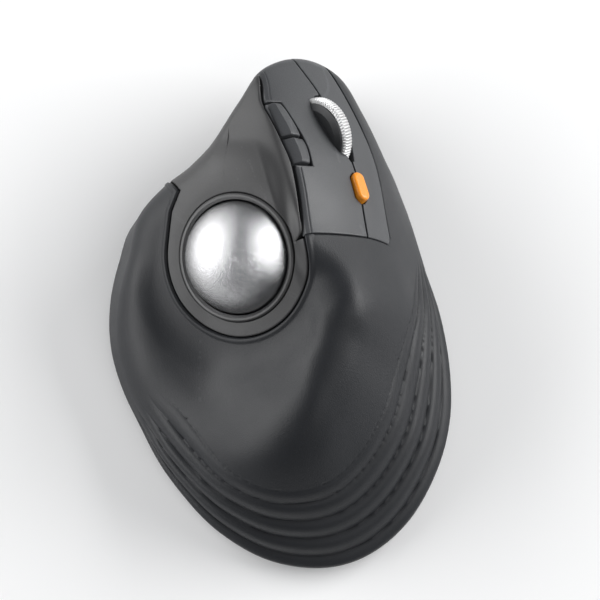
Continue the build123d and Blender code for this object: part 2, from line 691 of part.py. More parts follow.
with BuildPart() as scroll_hub:
    with BuildSketch(Plane(WHEEL_AXIS_PLANE.origin, x_dir=WHEEL_PLANE.z_dir, z_dir=-WHEEL_PLANE.y_dir)):
        with BuildLine():
            Polyline(
                (AXLE_RADIUS, -HUB_WIDTH / 2), (8.0, -HUB_WIDTH / 2), (9.9, -TREAD_WIDTH / 2 - 0.5),
                (9.9, -TREAD_WIDTH / 2), (RIM_INNER, -TREAD_WIDTH / 2), (RIM_INNER, TREAD_WIDTH / 2),
                (9.9, TREAD_WIDTH / 2), (9.9, TREAD_WIDTH / 2 + 0.5), (8.0, HUB_WIDTH / 2),
                (AXLE_RADIUS, HUB_WIDTH / 2), (AXLE_RADIUS, -HUB_WIDTH / 2),
            )
        make_face()
    revolve(axis=Axis(WHEEL_AXIS_PLANE.origin, WHEEL_PLANE.x_dir))
scroll_hub.part.label = "scroll_hub"
export_step(scroll_hub.part, "parts/scroll_hub.step")

with BuildPart() as wheel_axle:
    with BuildSketch(WHEEL_AXIS_PLANE.offset(-5.0)):
        Circle(AXLE_RADIUS)
    extrude(amount=10.0)
wheel_axle.part.label = "wheel_axle"
export_step(wheel_axle.part, "parts/wheel_axle.step")

CARRIER_BOTTOM = -8.0
CARRIER_TOP = -5.6
CARRIER_LENGTH = 26.4

with BuildPart() as wheel_carrier:
    with BuildSketch(WHEEL_PLANE.offset(CARRIER_BOTTOM)):
        Rectangle(2 * (CHEEK_INNER + CHEEK_THICKNESS), CARRIER_LENGTH)
        Rectangle(2 * CHEEK_INNER, CARRIER_LENGTH - 2.4, mode=Mode.SUBTRACT)
        with Locations(*GUIDE_SPOTS):
            Circle(2.2)
            Circle(AXLE_RADIUS + 0.08, mode=Mode.SUBTRACT)
    extrude(amount=CARRIER_TOP - CARRIER_BOTTOM)
    with BuildSketch(WHEEL_PLANE.offset(CARRIER_BOTTOM)):
        with Locations((-CHEEK_INNER - CHEEK_THICKNESS / 2, 0), (CHEEK_INNER + CHEEK_THICKNESS / 2, 0)):
            Rectangle(CHEEK_THICKNESS, 5.0)
    extrude(amount=WHEEL_W + 0.3 - CARRIER_BOTTOM)
    with BuildSketch(WHEEL_PLANE.offset(BOARD_TOP + TACT_HEIGHT + TACT_LIFT + 0.05)):
        with Locations((0, 15.5)):
            Rectangle(3.6, 6.0)
    extrude(amount=1.1)
    with BuildSketch(WHEEL_AXIS_PLANE.offset(-6)):
        Circle(AXLE_RADIUS + FIT)
        Rectangle(4, 2 * AXLE_RADIUS - 0.3, align=(Align.MIN, Align.CENTER))
    extrude(amount=12, mode=Mode.SUBTRACT)
wheel_carrier.part.label = "wheel_carrier"
export_step(wheel_carrier.part, "parts/wheel_carrier.step")

with BuildPart() as scroll_encoder:
    with BuildSketch(WHEEL_AXIS_PLANE.offset(-CHEEK_INNER - CHEEK_THICKNESS - 0.35)):
        with Locations((-1.4, 0)):
            Rectangle(4.6, 5.2)
        Circle(AXLE_RADIUS + FIT, mode=Mode.SUBTRACT)
    extrude(amount=-2.6)
scroll_encoder.part.label = "scroll_encoder"
export_step(scroll_encoder.part, "parts/scroll_encoder.step")

# ---------------------------------------------------------------- ball, ring, cup and bearings
CUP_INNER = 17.7
CUP_OUTER = 19.3
CUP_RIM = -3.2
BEARING_RADIUS = 1.5
BEARING_ANGLE = 55.0
WINDOW_RADIUS = 3.2
CUP_LEGS = [(-14.0, 5.0), (-16.0, 31.0), (2.0, 33.0)]
CUP_LEG_TOPS = [25.0, 31.0, 30.5]
BALL_PLANE = RING_PLANE.offset(-RING_LIFT)


def from_ball(distance, polar, turn):
    """A plane on a ray from the ball centre, facing outwards along it."""
    sideways = sin(radians(polar))
    ray = (
        BALL_PLANE.x_dir * (sideways * cos(radians(turn)))
        + BALL_PLANE.y_dir * (sideways * sin(radians(turn)))
        - BALL_PLANE.z_dir * cos(radians(polar))
    )
    return Plane(origin=BALL_PLANE.origin + ray * distance, z_dir=ray)


BEARING_TURNS = [30, 150, 270]

with BuildPart() as trackball:
    with Locations(BALL_PLANE):
        Sphere(BALL_RADIUS)
trackball.part.label = "trackball"
export_step(trackball.part, "parts/trackball.step")

with BuildPart() as ball_ring:
    with BuildSketch(Plane(RING_PLANE.origin, x_dir=RING_PLANE.x_dir, z_dir=-RING_PLANE.y_dir)):
        with BuildLine():
            Polyline(
                (17.35, -3.0), (RING_OUTER, -3.0), (RING_OUTER, 0.3), (RING_OUTER - 0.4, 0.7),
                (RING_OUTER - 1.0, 0.7), (RING_OPENING, 0.1), (RING_OPENING, -0.5), (17.35, -1.6),
                (17.35, -3.0),
            )
        make_face()
    revolve(axis=Axis(RING_PLANE.origin, RING_PLANE.z_dir))
ball_ring.part.label = "ball_ring"
export_step(ball_ring.part, "parts/ball_ring.step")

with BuildPart() as ball_cup:
    with Locations(BALL_PLANE):
        Sphere(CUP_OUTER)
    split(bisect_by=RING_PLANE.offset(CUP_RIM), keep=Keep.BOTTOM)
    for turn in BEARING_TURNS:
        with BuildSketch(from_ball(CUP_INNER, BEARING_ANGLE, turn)):
            Circle(2.6)
        extrude(amount=2.9)
    for leg, leg_top in zip(CUP_LEGS, CUP_LEG_TOPS):
        with BuildSketch(Plane.XY.offset(CASE_FLOOR_TOP)):
            with Locations(leg):
                Circle(2.6)
        extrude(amount=leg_top - CASE_FLOOR_TOP)
    with Locations(BALL_PLANE):
        Sphere(CUP_INNER, mode=Mode.SUBTRACT)
    for turn in BEARING_TURNS:
        with BuildSketch(from_ball(BALL_RADIUS - 1, BEARING_ANGLE, turn)):
            Circle(BEARING_RADIUS)
        extrude(amount=1 + FIT + 2 * BEARING_RADIUS, mode=Mode.SUBTRACT)
    with BuildSketch(from_ball(BALL_RADIUS - 1, 0, 0)):
        Circle(WINDOW_RADIUS)
    extrude(amount=6, mode=Mode.SUBTRACT)
    with BuildSketch(Plane.XY.offset(CASE_FLOOR_TOP - 1)):
        with Locations(*CUP_LEGS):
            Circle(PILOT_RADIUS)
    extrude(amount=9, mode=Mode.SUBTRACT)
ball_cup.part.label = "ball_cup"
export_step(ball_cup.part, "parts/ball_cup.step")

with BuildPart() as support_bearings:
    for turn in BEARING_TURNS:
        with Locations(from_ball(BALL_RADIUS + FIT + BEARING_RADIUS, BEARING_ANGLE, turn)):
            Sphere(BEARING_RADIUS)
support_bearings.part.label = "support_bearings"
export_step(support_bearings.part, "parts/support_bearings.step")

SENSOR_BOARD_REACH = 24.2

with BuildPart() as sensor_lens:
    with BuildSketch(from_ball(CUP_OUTER + 0.2, 0, 0)):
        RectangleRounded(10, 9, 1)
    extrude(amount=1.2)
    with BuildSketch(from_ball(CUP_OUTER - 1.0, 0, 0)):
        Circle(WINDOW_RADIUS - 0.3)
    extrude(amount=1.3)
sensor_lens.part.label = "sensor_lens"
export_step(sensor_lens.part, "parts/sensor_lens.step")

with BuildPart() as motion_sensor:
    with BuildSketch(from_ball(CUP_OUTER + 1.5, 0, 0)):
        Rectangle(9, 8)
    extrude(amount=SENSOR_BOARD_REACH - CUP_OUTER - 1.5)
motion_sensor.part.label = "motion_sensor"
export_step(motion_sensor.part, "parts/motion_sensor.step")

with BuildPart() as sensor_board:
    with BuildSketch(from_ball(SENSOR_BOARD_REACH, 0, 0)):
        RectangleRounded(15, 13, 1)
    extrude(amount=1.0)
sensor_board.part.label = "sensor_board"
export_step(sensor_board.part, "parts/sensor_board.step")

# ---------------------------------------------------------------- bottom case and what it carries
FLOOR_INSET = WALL + 0.75
LIP_TOP = 4.8
LIP_THICKNESS = 1.4
HEAD_RADIUS = 2.1
HEAD_HEIGHT = 1.2
HEAD_SINK = 0.25
ALL_SCREWS = PALM_SCREWS + PANEL_SCREWS + CUP_LEGS
FOOT_SPOTS = [(-33.0, -2.0), (34.0, 2.0), (-20.0, 42.0), (30.0, 60.0), (2.0, -64.5)]
FOOT_RADIUS = 5.0
FOOT_SINK = 0.5
BOARD_Z = 6.5
BOARD_THICKNESS = 1.6
BATTERY_SPOT = (-2.0, -28.0)
BATTERY_SIZE = (43.4, 31.4, 5.5)
MAIN_STANDOFFS = [(12.5, 0.0), (34.0, 0.0), (12.5, 53.5), (33.5, 35.0)]
KNOB_SPOT = (-27.5, 34.0)
PAIR_SPOT = (-27.5, 10.0)
KNOB_TRAVEL = 3.0

with BuildPart() as bottom_case:
    with BuildSketch(Plane.XY.offset(FOOT_HEIGHT)):
        with BuildLine():
            Spline(*rim_points(RIM_HEIGHT, FLOOR_INSET), periodic=True)
        make_face()
    extrude(amount=CASE_FLOOR_TOP - FOOT_HEIGHT)
    with BuildSketch(Plane.XY.offset(CASE_FLOOR_TOP)):
        with BuildLine():
            Spline(*rim_points(RIM_HEIGHT, FLOOR_INSET), periodic=True)
        make_face()
        with BuildLine():
            Spline(*rim_points(RIM_HEIGHT, FLOOR_INSET + LIP_THICKNESS), periodic=True)
        make_face(mode=Mode.SUBTRACT)
        with Locations(BATTERY_SPOT):
            Rectangle(BATTERY_SIZE[0] + 3.0, BATTERY_SIZE[1] + 3.0)
            Rectangle(BATTERY_SIZE[0] + 0.6, BATTERY_SIZE[1] + 0.6, mode=Mode.SUBTRACT)
            Rectangle(20, 60, mode=Mode.SUBTRACT)
        with BuildLine():
            Spline(*rim_points(RIM_HEIGHT, FLOOR_INSET), periodic=True)
        make_face(mode=Mode.INTERSECT)
    extrude(amount=LIP_TOP - CASE_FLOOR_TOP)
    with BuildSketch(Plane.XY.offset(CASE_FLOOR_TOP)):
        with Locations(*MAIN_STANDOFFS):
            Circle(2.4)
    extrude(amount=BOARD_Z - CASE_FLOOR_TOP)
    with BuildSketch(Plane.XY.offset(CASE_FLOOR_TOP)):
        with Locations(*MAIN_STANDOFFS):
            Circle(PILOT_RADIUS)
    extrude(amount=BOARD_Z - CASE_FLOOR_TOP, mode=Mode.SUBTRACT)
    with BuildSketch(Plane.XY):
        with Locations(*ALL_SCREWS):
            Circle(1.1)
    extrude(amount=CASE_FLOOR_TOP + 0.01, mode=Mode.SUBTRACT)
    with BuildSketch(Plane.XY):
        with Locations(*ALL_SCREWS):
            Circle(HEAD_RADIUS + 0.3)
    extrude(amount=FOOT_HEIGHT + HEAD_SINK + HEAD_HEIGHT, mode=Mode.SUBTRACT)
    with BuildSketch(Plane.XY):
        with Locations(*FOOT_SPOTS):
            Circle(FOOT_RADIUS)
    extrude(amount=FOOT_HEIGHT + FOOT_SINK, mode=Mode.SUBTRACT)
    with BuildSketch(Plane.XY):
        with Locations(KNOB_SPOT):
            SlotOverall(8.4, 3.8)
        with Locations(PAIR_SPOT):
            Circle(2.5)
    extrude(amount=CASE_FLOOR_TOP + 0.01, mode=Mode.SUBTRACT)
    # The lip is relieved along the thumb panel's front wall
    add(thumb_panel.part, mode=Mode.SUBTRACT)
bottom_case.part.label = "bottom_case"
export_step(bottom_case.part, "parts/bottom_case.step")

with BuildPart() as rubber_feet:
    with BuildSketch(Plane.XY):
        with Locations(*FOOT_SPOTS):
            Circle(FOOT_RADIUS - 0.1)
    extrude(amount=FOOT_HEIGHT + FOOT_SINK)
    chamfer(rubber_feet.faces().filter_by(Axis.Z).group_by(Axis.Z)[0].edges(), 0.25)
rubber_feet.part.label = "rubber_feet"
export_step(rubber_feet.part, "parts/rubber_feet.step")

with BuildPart() as case_screws:
    with BuildSketch(Plane.XY.offset(FOOT_HEIGHT + HEAD_SINK)):
        with Locations(*ALL_SCREWS):
            Circle(HEAD_RADIUS)
    extrude(amount=HEAD_HEIGHT)
    with BuildSketch(Plane.XY.offset(FOOT_HEIGHT + HEAD_SINK)):
        with Locations(*ALL_SCREWS):
            Circle(0.8)
    extrude(amount=9.0)
    with BuildSketch(Plane.XY.offset(FOOT_HEIGHT + HEAD_SINK)):
        with Locations(*ALL_SCREWS):
            Rectangle(2.2, 0.5)
            Rectangle(0.5, 2.2)
    extrude(amount=0.7, mode=Mode.SUBTRACT)
case_screws.part.label = "case_screws"
export_step(case_screws.part, "parts/case_screws.step")

with BuildPart() as main_board:
    with BuildSketch(Plane.XY.offset(BOARD_Z)):
        with BuildLine():
            Polyline(
                (9.0, -4.0), (36.6, -4.0), (36.6, 58.0), (33.0, 58.0), (33.0, 67.0),
                (19.0, 67.0), (19.0, 58.0), (9.0, 58.0), (9.0, -4.0),
            )
        make_face()
        with Locations(*MAIN_STANDOFFS):
            Circle(1.1, mode=Mode.SUBTRACT)
        with Locations(*POST_SPOTS):
            Circle(2.9, mode=Mode.SUBTRACT)
    extrude(amount=BOARD_THICKNESS)
main_board.part.label = "main_board"
export_step(main_board.part, "parts/main_board.step")

with BuildPart() as board_screws:
    with BuildSketch(Plane.XY.offset(BOARD_Z + BOARD_THICKNESS)):
        with Locations(*MAIN_STANDOFFS):
            Circle(1.8)
    extrude(amount=1.0)
    with BuildSketch(Plane.XY.offset(CASE_FLOOR_TOP + 0.4)):
        with Locations(*MAIN_STANDOFFS):
            Circle(0.8)
    extrude(amount=BOARD_Z + BOARD_THICKNESS - CASE_FLOOR_TOP - 0.4)
board_screws.part.label = "board_screws"
export_step(board_screws.part, "parts/board_screws.step")

with BuildPart() as control_chip:
    with BuildSketch(Plane.XY.offset(BOARD_Z + BOARD_THICKNESS)):
        with Locations((24.0, 24.0)):
            Rectangle(7, 7)
        with Locations((16.0, 36.0)):
            Rectangle(4, 5)
    extrude(amount=0.9)
control_chip.part.label = "control_chips"
export_step(control_chip.part, "parts/control_chips.step")

with BuildPart() as usb_c_port:
    with BuildSketch(Plane.XZ.offset(-66.3)):
        with Locations((PORT_X, PORT_Z)):
            RectangleRounded(8.94, 3.26, 1.2)
    extrude(amount=-7.3)
    with BuildSketch(Plane.XZ.offset(-67.3)):
        with Locations((PORT_X, PORT_Z)):
            RectangleRounded(8.34, 2.56, 1.0)
    extrude(amount=-7.3, mode=Mode.SUBTRACT)
    with BuildSketch(Plane.XZ.offset(-66.8)):
        with Locations((PORT_X, PORT_Z)):
            Rectangle(6.7, 0.7)
    extrude(amount=-5.0)
usb_c_port.part.label = "usb_c_port"
export_step(usb_c_port.part, "parts/usb_c_port.step")

with BuildPart() as battery:
    with BuildSketch(Plane.XY.offset(CASE_FLOOR_TOP + 0.1)):
        with Locations(BATTERY_SPOT):
            Rectangle(BATTERY_SIZE[0], BATTERY_SIZE[1])
    extrude(amount=BATTERY_SIZE[2])
    fillet(battery.edges().filter_by(Axis.Y), radius=2.0)
battery.part.label = "battery"
export_step(battery.part, "parts/battery.step")

LEAD_ENDS = [4.0, 6.2]

with BuildPart() as battery_leads:
    for lead_x in LEAD_ENDS:
        with BuildLine() as lead_path:
            Spline(
                (lead_x, -11.8, 6.2), (lead_x + 1.0, -8.0, 6.8), (lead_x + 5.0, -4.6, 9.2), (lead_x + 7.6, -2.2, 9.3)
            )
        with BuildSketch(Plane(origin=lead_path.line @ 0, z_dir=lead_path.line % 0)):
            Circle(0.5)
        sweep(path=lead_path.line)
battery_leads.part.label = "battery_leads"
export_step(battery_leads.part, "parts/battery_leads.step")

with BuildPart() as board_ribbon:
    with BuildLine() as ribbon_path:
        Spline((19.6, 67.4, 27.0), (20.6, 67.6, 21.0), (20.8, 67.2, 14.0), (21.0, 64.6, 9.2))
    with BuildSketch(Plane(origin=ribbon_path.line @ 0, x_dir=(1, 0, 0.2), z_dir=ribbon_path.line % 0)):
        Rectangle(5.0, 0.3)
    sweep(path=ribbon_path.line)
board_ribbon.part.label = "board_ribbon"
export_step(board_ribbon.part, "parts/board_ribbon.step")

# ---------------------------------------------------------------- underside controls
with BuildPart() as power_knob:
    with BuildSketch(Plane.XY.offset(FOOT_HEIGHT + 0.2)):
        with Locations((KNOB_SPOT[0] - KNOB_TRAVEL / 2, KNOB_SPOT[1])):
            SlotOverall(4.6, 3.0)
    extrude(amount=CASE_FLOOR_TOP - FOOT_HEIGHT + 0.2)
    with BuildSketch(Plane.XY.offset(CASE_FLOOR_TOP + 0.3)):
        with Locations((KNOB_SPOT[0] - KNOB_TRAVEL / 2, KNOB_SPOT[1])):
            Rectangle(7.0, 4.6)
    extrude(amount=0.8)
power_knob.part.label = "power_knob"
export_step(power_knob.part, "parts/power_knob.step")

with BuildPart() as power_switch:
    with BuildSketch(Plane.XY.offset(CASE_FLOOR_TOP + 1.5)):
        with Locations(KNOB_SPOT):
            Rectangle(10.0, 5.0)
    extrude(amount=2.4)
power_switch.part.label = "power_switch"
export_step(power_switch.part, "parts/power_switch.step")

PAIR_PLANE = Plane(origin=(PAIR_SPOT[0], PAIR_SPOT[1], 9.3), x_dir=(1, 0, 0), z_dir=(0, 0, -1))

with BuildPart() as pairing_button:
    with BuildSketch(Plane.XY.offset(FOOT_HEIGHT + 0.3)):
        with Locations(PAIR_SPOT):
            Circle(2.1)
    extrude(amount=PAIR_PLANE.origin.Z - TACT_HEIGHT - TACT_LIFT - FOOT_HEIGHT - 0.35)
    with BuildSketch(Plane.XY.offset(CASE_FLOOR_TOP + 0.3)):
        with Locations(PAIR_SPOT):
            Circle(3.0)
    extrude(amount=0.8)
pairing_button.part.label = "pairing_button"
export_step(pairing_button.part, "parts/pairing_button.step")

pairing_switch = tact_switch(PAIR_PLANE, 0, 0)
pairing_switch.label = "pairing_switch"
export_step(pairing_switch, "parts/pairing_switch.step")
pairing_plunger = tact_plunger(PAIR_PLANE, 0, 0)
pairing_plunger.label = "pairing_plunger"
export_step(pairing_plunger, "parts/pairing_plunger.step")

with BuildPart() as switch_board:
    with BuildSketch(Plane.XY.offset(9.3)):
        with Locations((-27.5, 22.0)):
            Rectangle(11, 33)
    extrude(amount=1.2)
    fillet(switch_board.edges().filter_by(Axis.Z), radius=1.0)
switch_board.part.label = "switch_board"
export_step(switch_board.part, "parts/switch_board.step")
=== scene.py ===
"""Looks of the thumb-ball mouse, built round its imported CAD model.

Shapes are worked out in millimetres in the CAD frame and handed to Blender in metres.
"""

import json
import math

import bmesh
import bpy
import numpy as np
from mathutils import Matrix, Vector

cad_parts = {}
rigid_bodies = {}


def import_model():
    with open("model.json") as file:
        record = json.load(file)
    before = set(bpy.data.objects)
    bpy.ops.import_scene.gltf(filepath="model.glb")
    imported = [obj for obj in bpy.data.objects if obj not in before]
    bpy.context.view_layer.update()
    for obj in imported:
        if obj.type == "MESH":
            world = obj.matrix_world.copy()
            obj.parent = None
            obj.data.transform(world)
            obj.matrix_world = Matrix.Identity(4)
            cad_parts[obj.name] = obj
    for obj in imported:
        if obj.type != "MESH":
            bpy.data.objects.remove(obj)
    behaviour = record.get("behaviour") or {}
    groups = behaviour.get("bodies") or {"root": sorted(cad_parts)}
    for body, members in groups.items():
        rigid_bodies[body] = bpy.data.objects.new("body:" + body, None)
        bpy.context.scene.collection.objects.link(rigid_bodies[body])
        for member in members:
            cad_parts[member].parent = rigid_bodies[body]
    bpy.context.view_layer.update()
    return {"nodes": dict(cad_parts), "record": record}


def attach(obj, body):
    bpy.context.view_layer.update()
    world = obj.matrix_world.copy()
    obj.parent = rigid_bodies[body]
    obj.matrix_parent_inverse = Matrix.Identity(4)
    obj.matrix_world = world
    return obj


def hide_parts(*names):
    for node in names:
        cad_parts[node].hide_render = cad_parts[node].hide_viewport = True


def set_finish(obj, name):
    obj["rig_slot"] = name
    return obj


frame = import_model()
MM = 0.001

# ---------------------------------------------------------------- driving sizes, as in the CAD
SKIRT_BOTTOM = 1.6
RIM_HEIGHT = 5.0
WALL = 2.0
COARSE = 1.0
RIM = np.array([
    (0, 49.4, 0.385), (15, 51.4, 0.35), (30, 57.0, 0.31), (42, 64.5, 0.22), (52, 72.0, 0.10),
    (60, 79.6, 0.04), (68, 80.2, 0.03), (76, 73.8, 0.03), (84, 62.8, 0.03), (94, 54.0, 0.03),
    (104, 51.3, 0.04), (115, 54.0, 0.12), (127, 56.0, 0.25), (140, 53.3, 0.33), (155, 51.7, 0.35),
    (170, 50.7, 0.35), (185, 50.0, 0.35), (200, 50.4, 0.37), (212, 52.6, 0.42), (225, 56.7, 0.50),
    (240, 63.5, 0.62), (255, 70.0, 0.76), (270, 73.3, 0.90), (285, 71.5, 0.98), (300, 66.1, 0.92),
    (315, 59.2, 0.78), (330, 53.8, 0.60), (345, 50.4, 0.45),
])
STATION_Y = [-82, -70, -57, -44, -30, -14, -2, 13, 28, 43, 58, 76]
RIDGE_X = [-4, -3, -2, 2.5, 8.5, 12.5, 13, 12.9, 12.9, 12.9, 13.0, 13.6]
RIDGE_Z = [8, 21, 34, 45, 51.6, 53.2, 52.7, 52.3, 51.6, 50.2, 47.2, 41]
THUMB_SLOPE = [0.5, 0.6, 0.75, 0.9, 1.0, 0.98, 0.85, 0.66, 0.52, 0.47, 0.46, 0.46]
WING_Z = [6, 12, 17, 20, 22, 24, 25.5, 27, 27, 25, 22, 20]
RIDGE_ROUND = [24, 24, 24, 22, 19, 13, 7, 1.5, 1.0, 1.0, 1.0, 1.0]
FINGER_SLOPE = 0.487
FINGER_CURVE = 0.0104
WING_RISE = 0.10
WING_START = 30.0
WING_BLEND = 16.0
WING_BLEND_LEAST = 0.5
BALL_CENTRE = np.array([-4.8, 16.5, 36.0])
RING_LIFT = 4.5
RING_OUTER = 18.6
PANEL_RADIUS = 23.1
FLAT_RADIUS = 20.5
BLEND_RADIUS = 38.0
DISH_SLOPE = 0.42
DISH_START = 19.0
DISH_SOFTNESS = 5.0
RIDGE_BLEND = 13.0
# Where the ridge keeps its own height beside the dish, and where the flat of the ring ends
RIDGE_HELD_SIDE = (-7.0, 0.0)
RIDGE_HELD_Y = (0.0, 13.0)
FLAT_ENDS_SIDE = (-6.0, -0.4)
SEAM = 0.3
BUTTON_GAP = 0.4
RIDGE_GAP = 1.3
SKIRT_DEPTH = 10.0
PRESS_ROOM = 1.6
GAP_LINE = [(0, 0), (1.2, 21.3), (-0.4, 31.3), (-2.4, 44.2), (-0.3, 54.0), (1.0, 78.0)]
SPLIT_LINE = [(22.4, -1.5), (24.0, 14.0), (24.3, 22.0), (22.0, 38.0), (18.4, 50.5), (14.9, 60.0), (9.0, 78.0)]
FINGER_EDGE = [(34.2, 3.0), (35.0, 20.0), (34.3, 31.0), (29.4, 53.4), (25.0, 68.0)]
SIDE_ARC = [(8.3, 21.9), (8.2, 28.4), (6.8, 34.0), (3.6, 43.6)]
REAR_CORNER = (31.2, 0.0)
FRONT_V = 78.0
DPI_SPOT = (23.9, 16.6)
DPI_SIZE = (4.0, 9.4)
DPI_TURN = 2.0
WHEEL_SPOT = (18.9, 36.9)
WHEEL_TURN = 19.9
SIDE_KEYS = {"Forward_Key": ("forward_button", 31.8, 42.9), "Back_Key": ("back_button", 22.7, 30.8)}
RING_STRIP = [(-20.2, 11.2), (-14.8, 20.4), (-7.2, 28.0), (6.0, 32.0), (10.0, -2.0)]
THUMB_STRIP = [(-17.5, 41), (-31, 84), (18.5, 90), (17.6, 57), (17.6, 16.5), (12.9, 13.4)]


# ---------------------------------------------------------------- formulas of the form
def unit(v):
    v = np.asarray(v, float)
    return v / np.linalg.norm(v)


def axes_from(x_dir, z_dir):
    z = unit(z_dir)
    x = np.asarray(x_dir, float)
    x = unit(x - z * (x @ z))
    return x, np.cross(z, x), z


RING_X, RING_Y, RING_N = axes_from((0.853, 0, 0.522), (-0.514, -0.172, 0.840))
RING_O = BALL_CENTRE + RING_N * RING_LIFT
KEY_X, KEY_Y, KEY_N = axes_from((0.832, -0.124, -0.540), (0.553, 0.121, 0.824))
KEY_O = np.array([12.9, 13.4, 54.0])


def keyed(value, stations, heights):
    """Smooth curve through the given stations, flat beyond its ends."""
    s = np.asarray(stations, float)
    h = np.asarray(heights, float)
    slopes = np.empty(len(s))
    slopes[1:-1] = (h[2:] - h[:-2]) / (s[2:] - s[:-2])
    slopes[0] = (h[1] - h[0]) / (s[1] - s[0])
    slopes[-1] = (h[-1] - h[-2]) / (s[-1] - s[-2])
    v = np.clip(value, s[0], s[-1])
    i = np.clip(np.searchsorted(s, v, side="right") - 1, 0, len(s) - 2)
    width = s[i + 1] - s[i]
    t = (v - s[i]) / width
    return (
        (1 + 2 * t) * (1 - t) ** 2 * h[i]
        + t * (1 - t) ** 2 * width * slopes[i]
        + t * t * (3 - 2 * t) * h[i + 1]
        + t * t * (t - 1) * width * slopes[i + 1]
    )


RIM_TURN = np.concatenate([[RIM[-1, 0] - 360], RIM[:, 0], [360, RIM[1, 0] + 360]])
RIM_RADIUS = np.concatenate([[RIM[-1, 1]], RIM[:, 1], [RIM[0, 1], RIM[1, 1]]])
RIM_LEAN = np.concatenate([[RIM[-1, 2]], RIM[:, 2], [RIM[0, 2], RIM[1, 2]]])
# How broadly the top rolls into the wall, by direction
ROLL_TURN = [0, 25, 45, 60, 74, 90, 115, 135, 180, 225, 300, 360]
ROLL_SIZE = [9, 8, 5, 3, 3, 4, 8, 6, 9, 10, 10, 9]


def smooth_min(a, b, blend):
    near = np.maximum(blend - np.abs(a - b), 0) / blend
    return np.minimum(a, b) - near * near * blend / 4


def crown(x, y):
    """Height of the top surface, before the outer wall cuts it."""
    ridge_z = keyed(y, STATION_Y, RIDGE_Z)
    rounding = keyed(y, STATION_Y, RIDGE_ROUND)
    side = x - keyed(y, STATION_Y, RIDGE_X)
    soft = np.sqrt(side * side + rounding * rounding) - rounding
    right = FINGER_SLOPE * soft + FINGER_CURVE * side * side
    to_wing = ridge_z - keyed(y, STATION_Y, WING_Z) - WING_RISE * (side + WING_START)
    wing_blend = np.clip(to_wing, WING_BLEND_LEAST, WING_BLEND)
    left = smooth_min(keyed(y, STATION_Y, THUMB_SLOPE) * soft, to_wing, wing_blend)
    height = ridge_z - np.where(side > 0, right, left)
    dx = x - RING_O[0]
    dy = y - RING_O[1]
    fall = (dx * RING_N[0] + dy * RING_N[1]) / RING_N[2]
    reach = np.sqrt(dx * dx + dy * dy + fall * fall)
    held = ramp(side, *RIDGE_HELD_SIDE) * ramp(y, *RIDGE_HELD_Y)
    past = np.maximum(reach - DISH_START, 0)
    climb = np.sqrt(past * past + DISH_SOFTNESS**2) - DISH_SOFTNESS
    dish = RING_O[2] - fall + DISH_SLOPE * climb
    height = height * held + smooth_min(height, dish, RIDGE_BLEND) * (1 - held)
    share = np.clip((BLEND_RADIUS - reach) / (BLEND_RADIUS - FLAT_RADIUS), 0, 1)
    share = share * share * (3 - 2 * share) * (1 - ramp(side, *FLAT_ENDS_SIDE))
    flat = RING_O[2] - fall
    return height * (1 - share) + flat * share - trough(x, y)


TROUGH = [(-21.4, -40.0), (-24.0, -20.0), (-21.4, -7.6), (-19.5, 2.0), (-21.5, 14.0)]
TROUGH_WIDTH = 8.0
TROUGH_DEPTH = 0.7
TROUGH_BACK = (-42, -22)
TROUGH_FRONT = (2, 14)


def trough(x, y):
    """Depth of the hollow the thumb's root rests in."""
    across = x - line_u(TROUGH, y)
    along = ramp(y, *TROUGH_BACK) * (1 - ramp(y, *TROUGH_FRONT))
    return TROUGH_DEPTH * np.exp(-((across / TROUGH_WIDTH) ** 2)) * along


def outside(p):
    """Rough distance outside the form, negative inside; the top rolls into the wall."""
    x, y, z = p[:, 0], p[:, 1], p[:, 2]
    top = crown(x, y)
    step = 0.25
    slope_x = (crown(x + step, y) - top) / step
    slope_y = (crown(x, y + step) - top) / step
    above = (z - top) / np.sqrt(1 + slope_x**2 + slope_y**2)
    turn = np.degrees(np.arctan2(y, x)) % 360
    lean = keyed(turn, RIM_TURN, RIM_LEAN)
    radius = keyed(turn, RIM_TURN, RIM_RADIUS) - lean * np.maximum(z - RIM_HEIGHT, 0)
    beyond = (np.hypot(x, y) - radius) / np.sqrt(1 + lean**2)
    return -smooth_min(-above, -beyond, keyed(turn, ROLL_TURN, ROLL_SIZE))


def hit(origins, directions, near, far):
    """Where rays that start inside leave the form."""
    low = np.full(len(directions), float(near))
    high = np.full(len(directions), float(far))
    for _ in range(22):
        mid = (low + high) / 2
        inside = outside(origins + directions * mid[:, None]) < 0
        low = np.where(inside, mid, low)
        high = np.where(inside, high, mid)
    return origins + directions * ((low + high) / 2)[:, None]


def normals(p):
    step = 0.05
    grads = []
    for axis in np.eye(3) * step:
        grads.append(outside(p + axis) - outside(p - axis))
    n = np.stack(grads, 1)
    return n / np.linalg.norm(n, axis=1, keepdims=True)


def in_plane(p, origin, x, y, n):
    d = p - origin
    return d @ x, d @ y, d @ n


def key_point(u, v, w):
    u, v, w = np.broadcast_arrays(u, v, w)
    return KEY_O + u[..., None] * KEY_X + v[..., None] * KEY_Y + w[..., None] * KEY_N


def inside_polygon(u, v, polygon):
    """Signed distance to a closed outline, positive inside."""
    a = np.asarray(polygon, float)
    b = np.roll(a, -1, 0)
    result = np.empty(len(u))
    for start in range(0, len(u), 20000):
        p = np.stack([u[start:start + 20000], v[start:start + 20000]], 1)[:, None, :]
        edge = b - a
        along = np.clip(((p - a) * edge).sum(-1) / (edge**2).sum(-1), 0, 1)
        gap = np.sqrt((((p - a) - along[..., None] * edge) ** 2).sum(-1)).min(1)
        above = (a[:, 1] > p[..., 1]) != (b[:, 1] > p[..., 1])
        rise = np.where(b[:, 1] == a[:, 1], 1e-9, b[:, 1] - a[:, 1])
        cross = p[..., 0] < (b[:, 0] - a[:, 0]) * (p[..., 1] - a[:, 1]) / rise + a[:, 0]
        odd = (above & cross).sum(1) % 2 == 1
        result[start:start + 20000] = np.where(odd, gap, -gap)
    return result


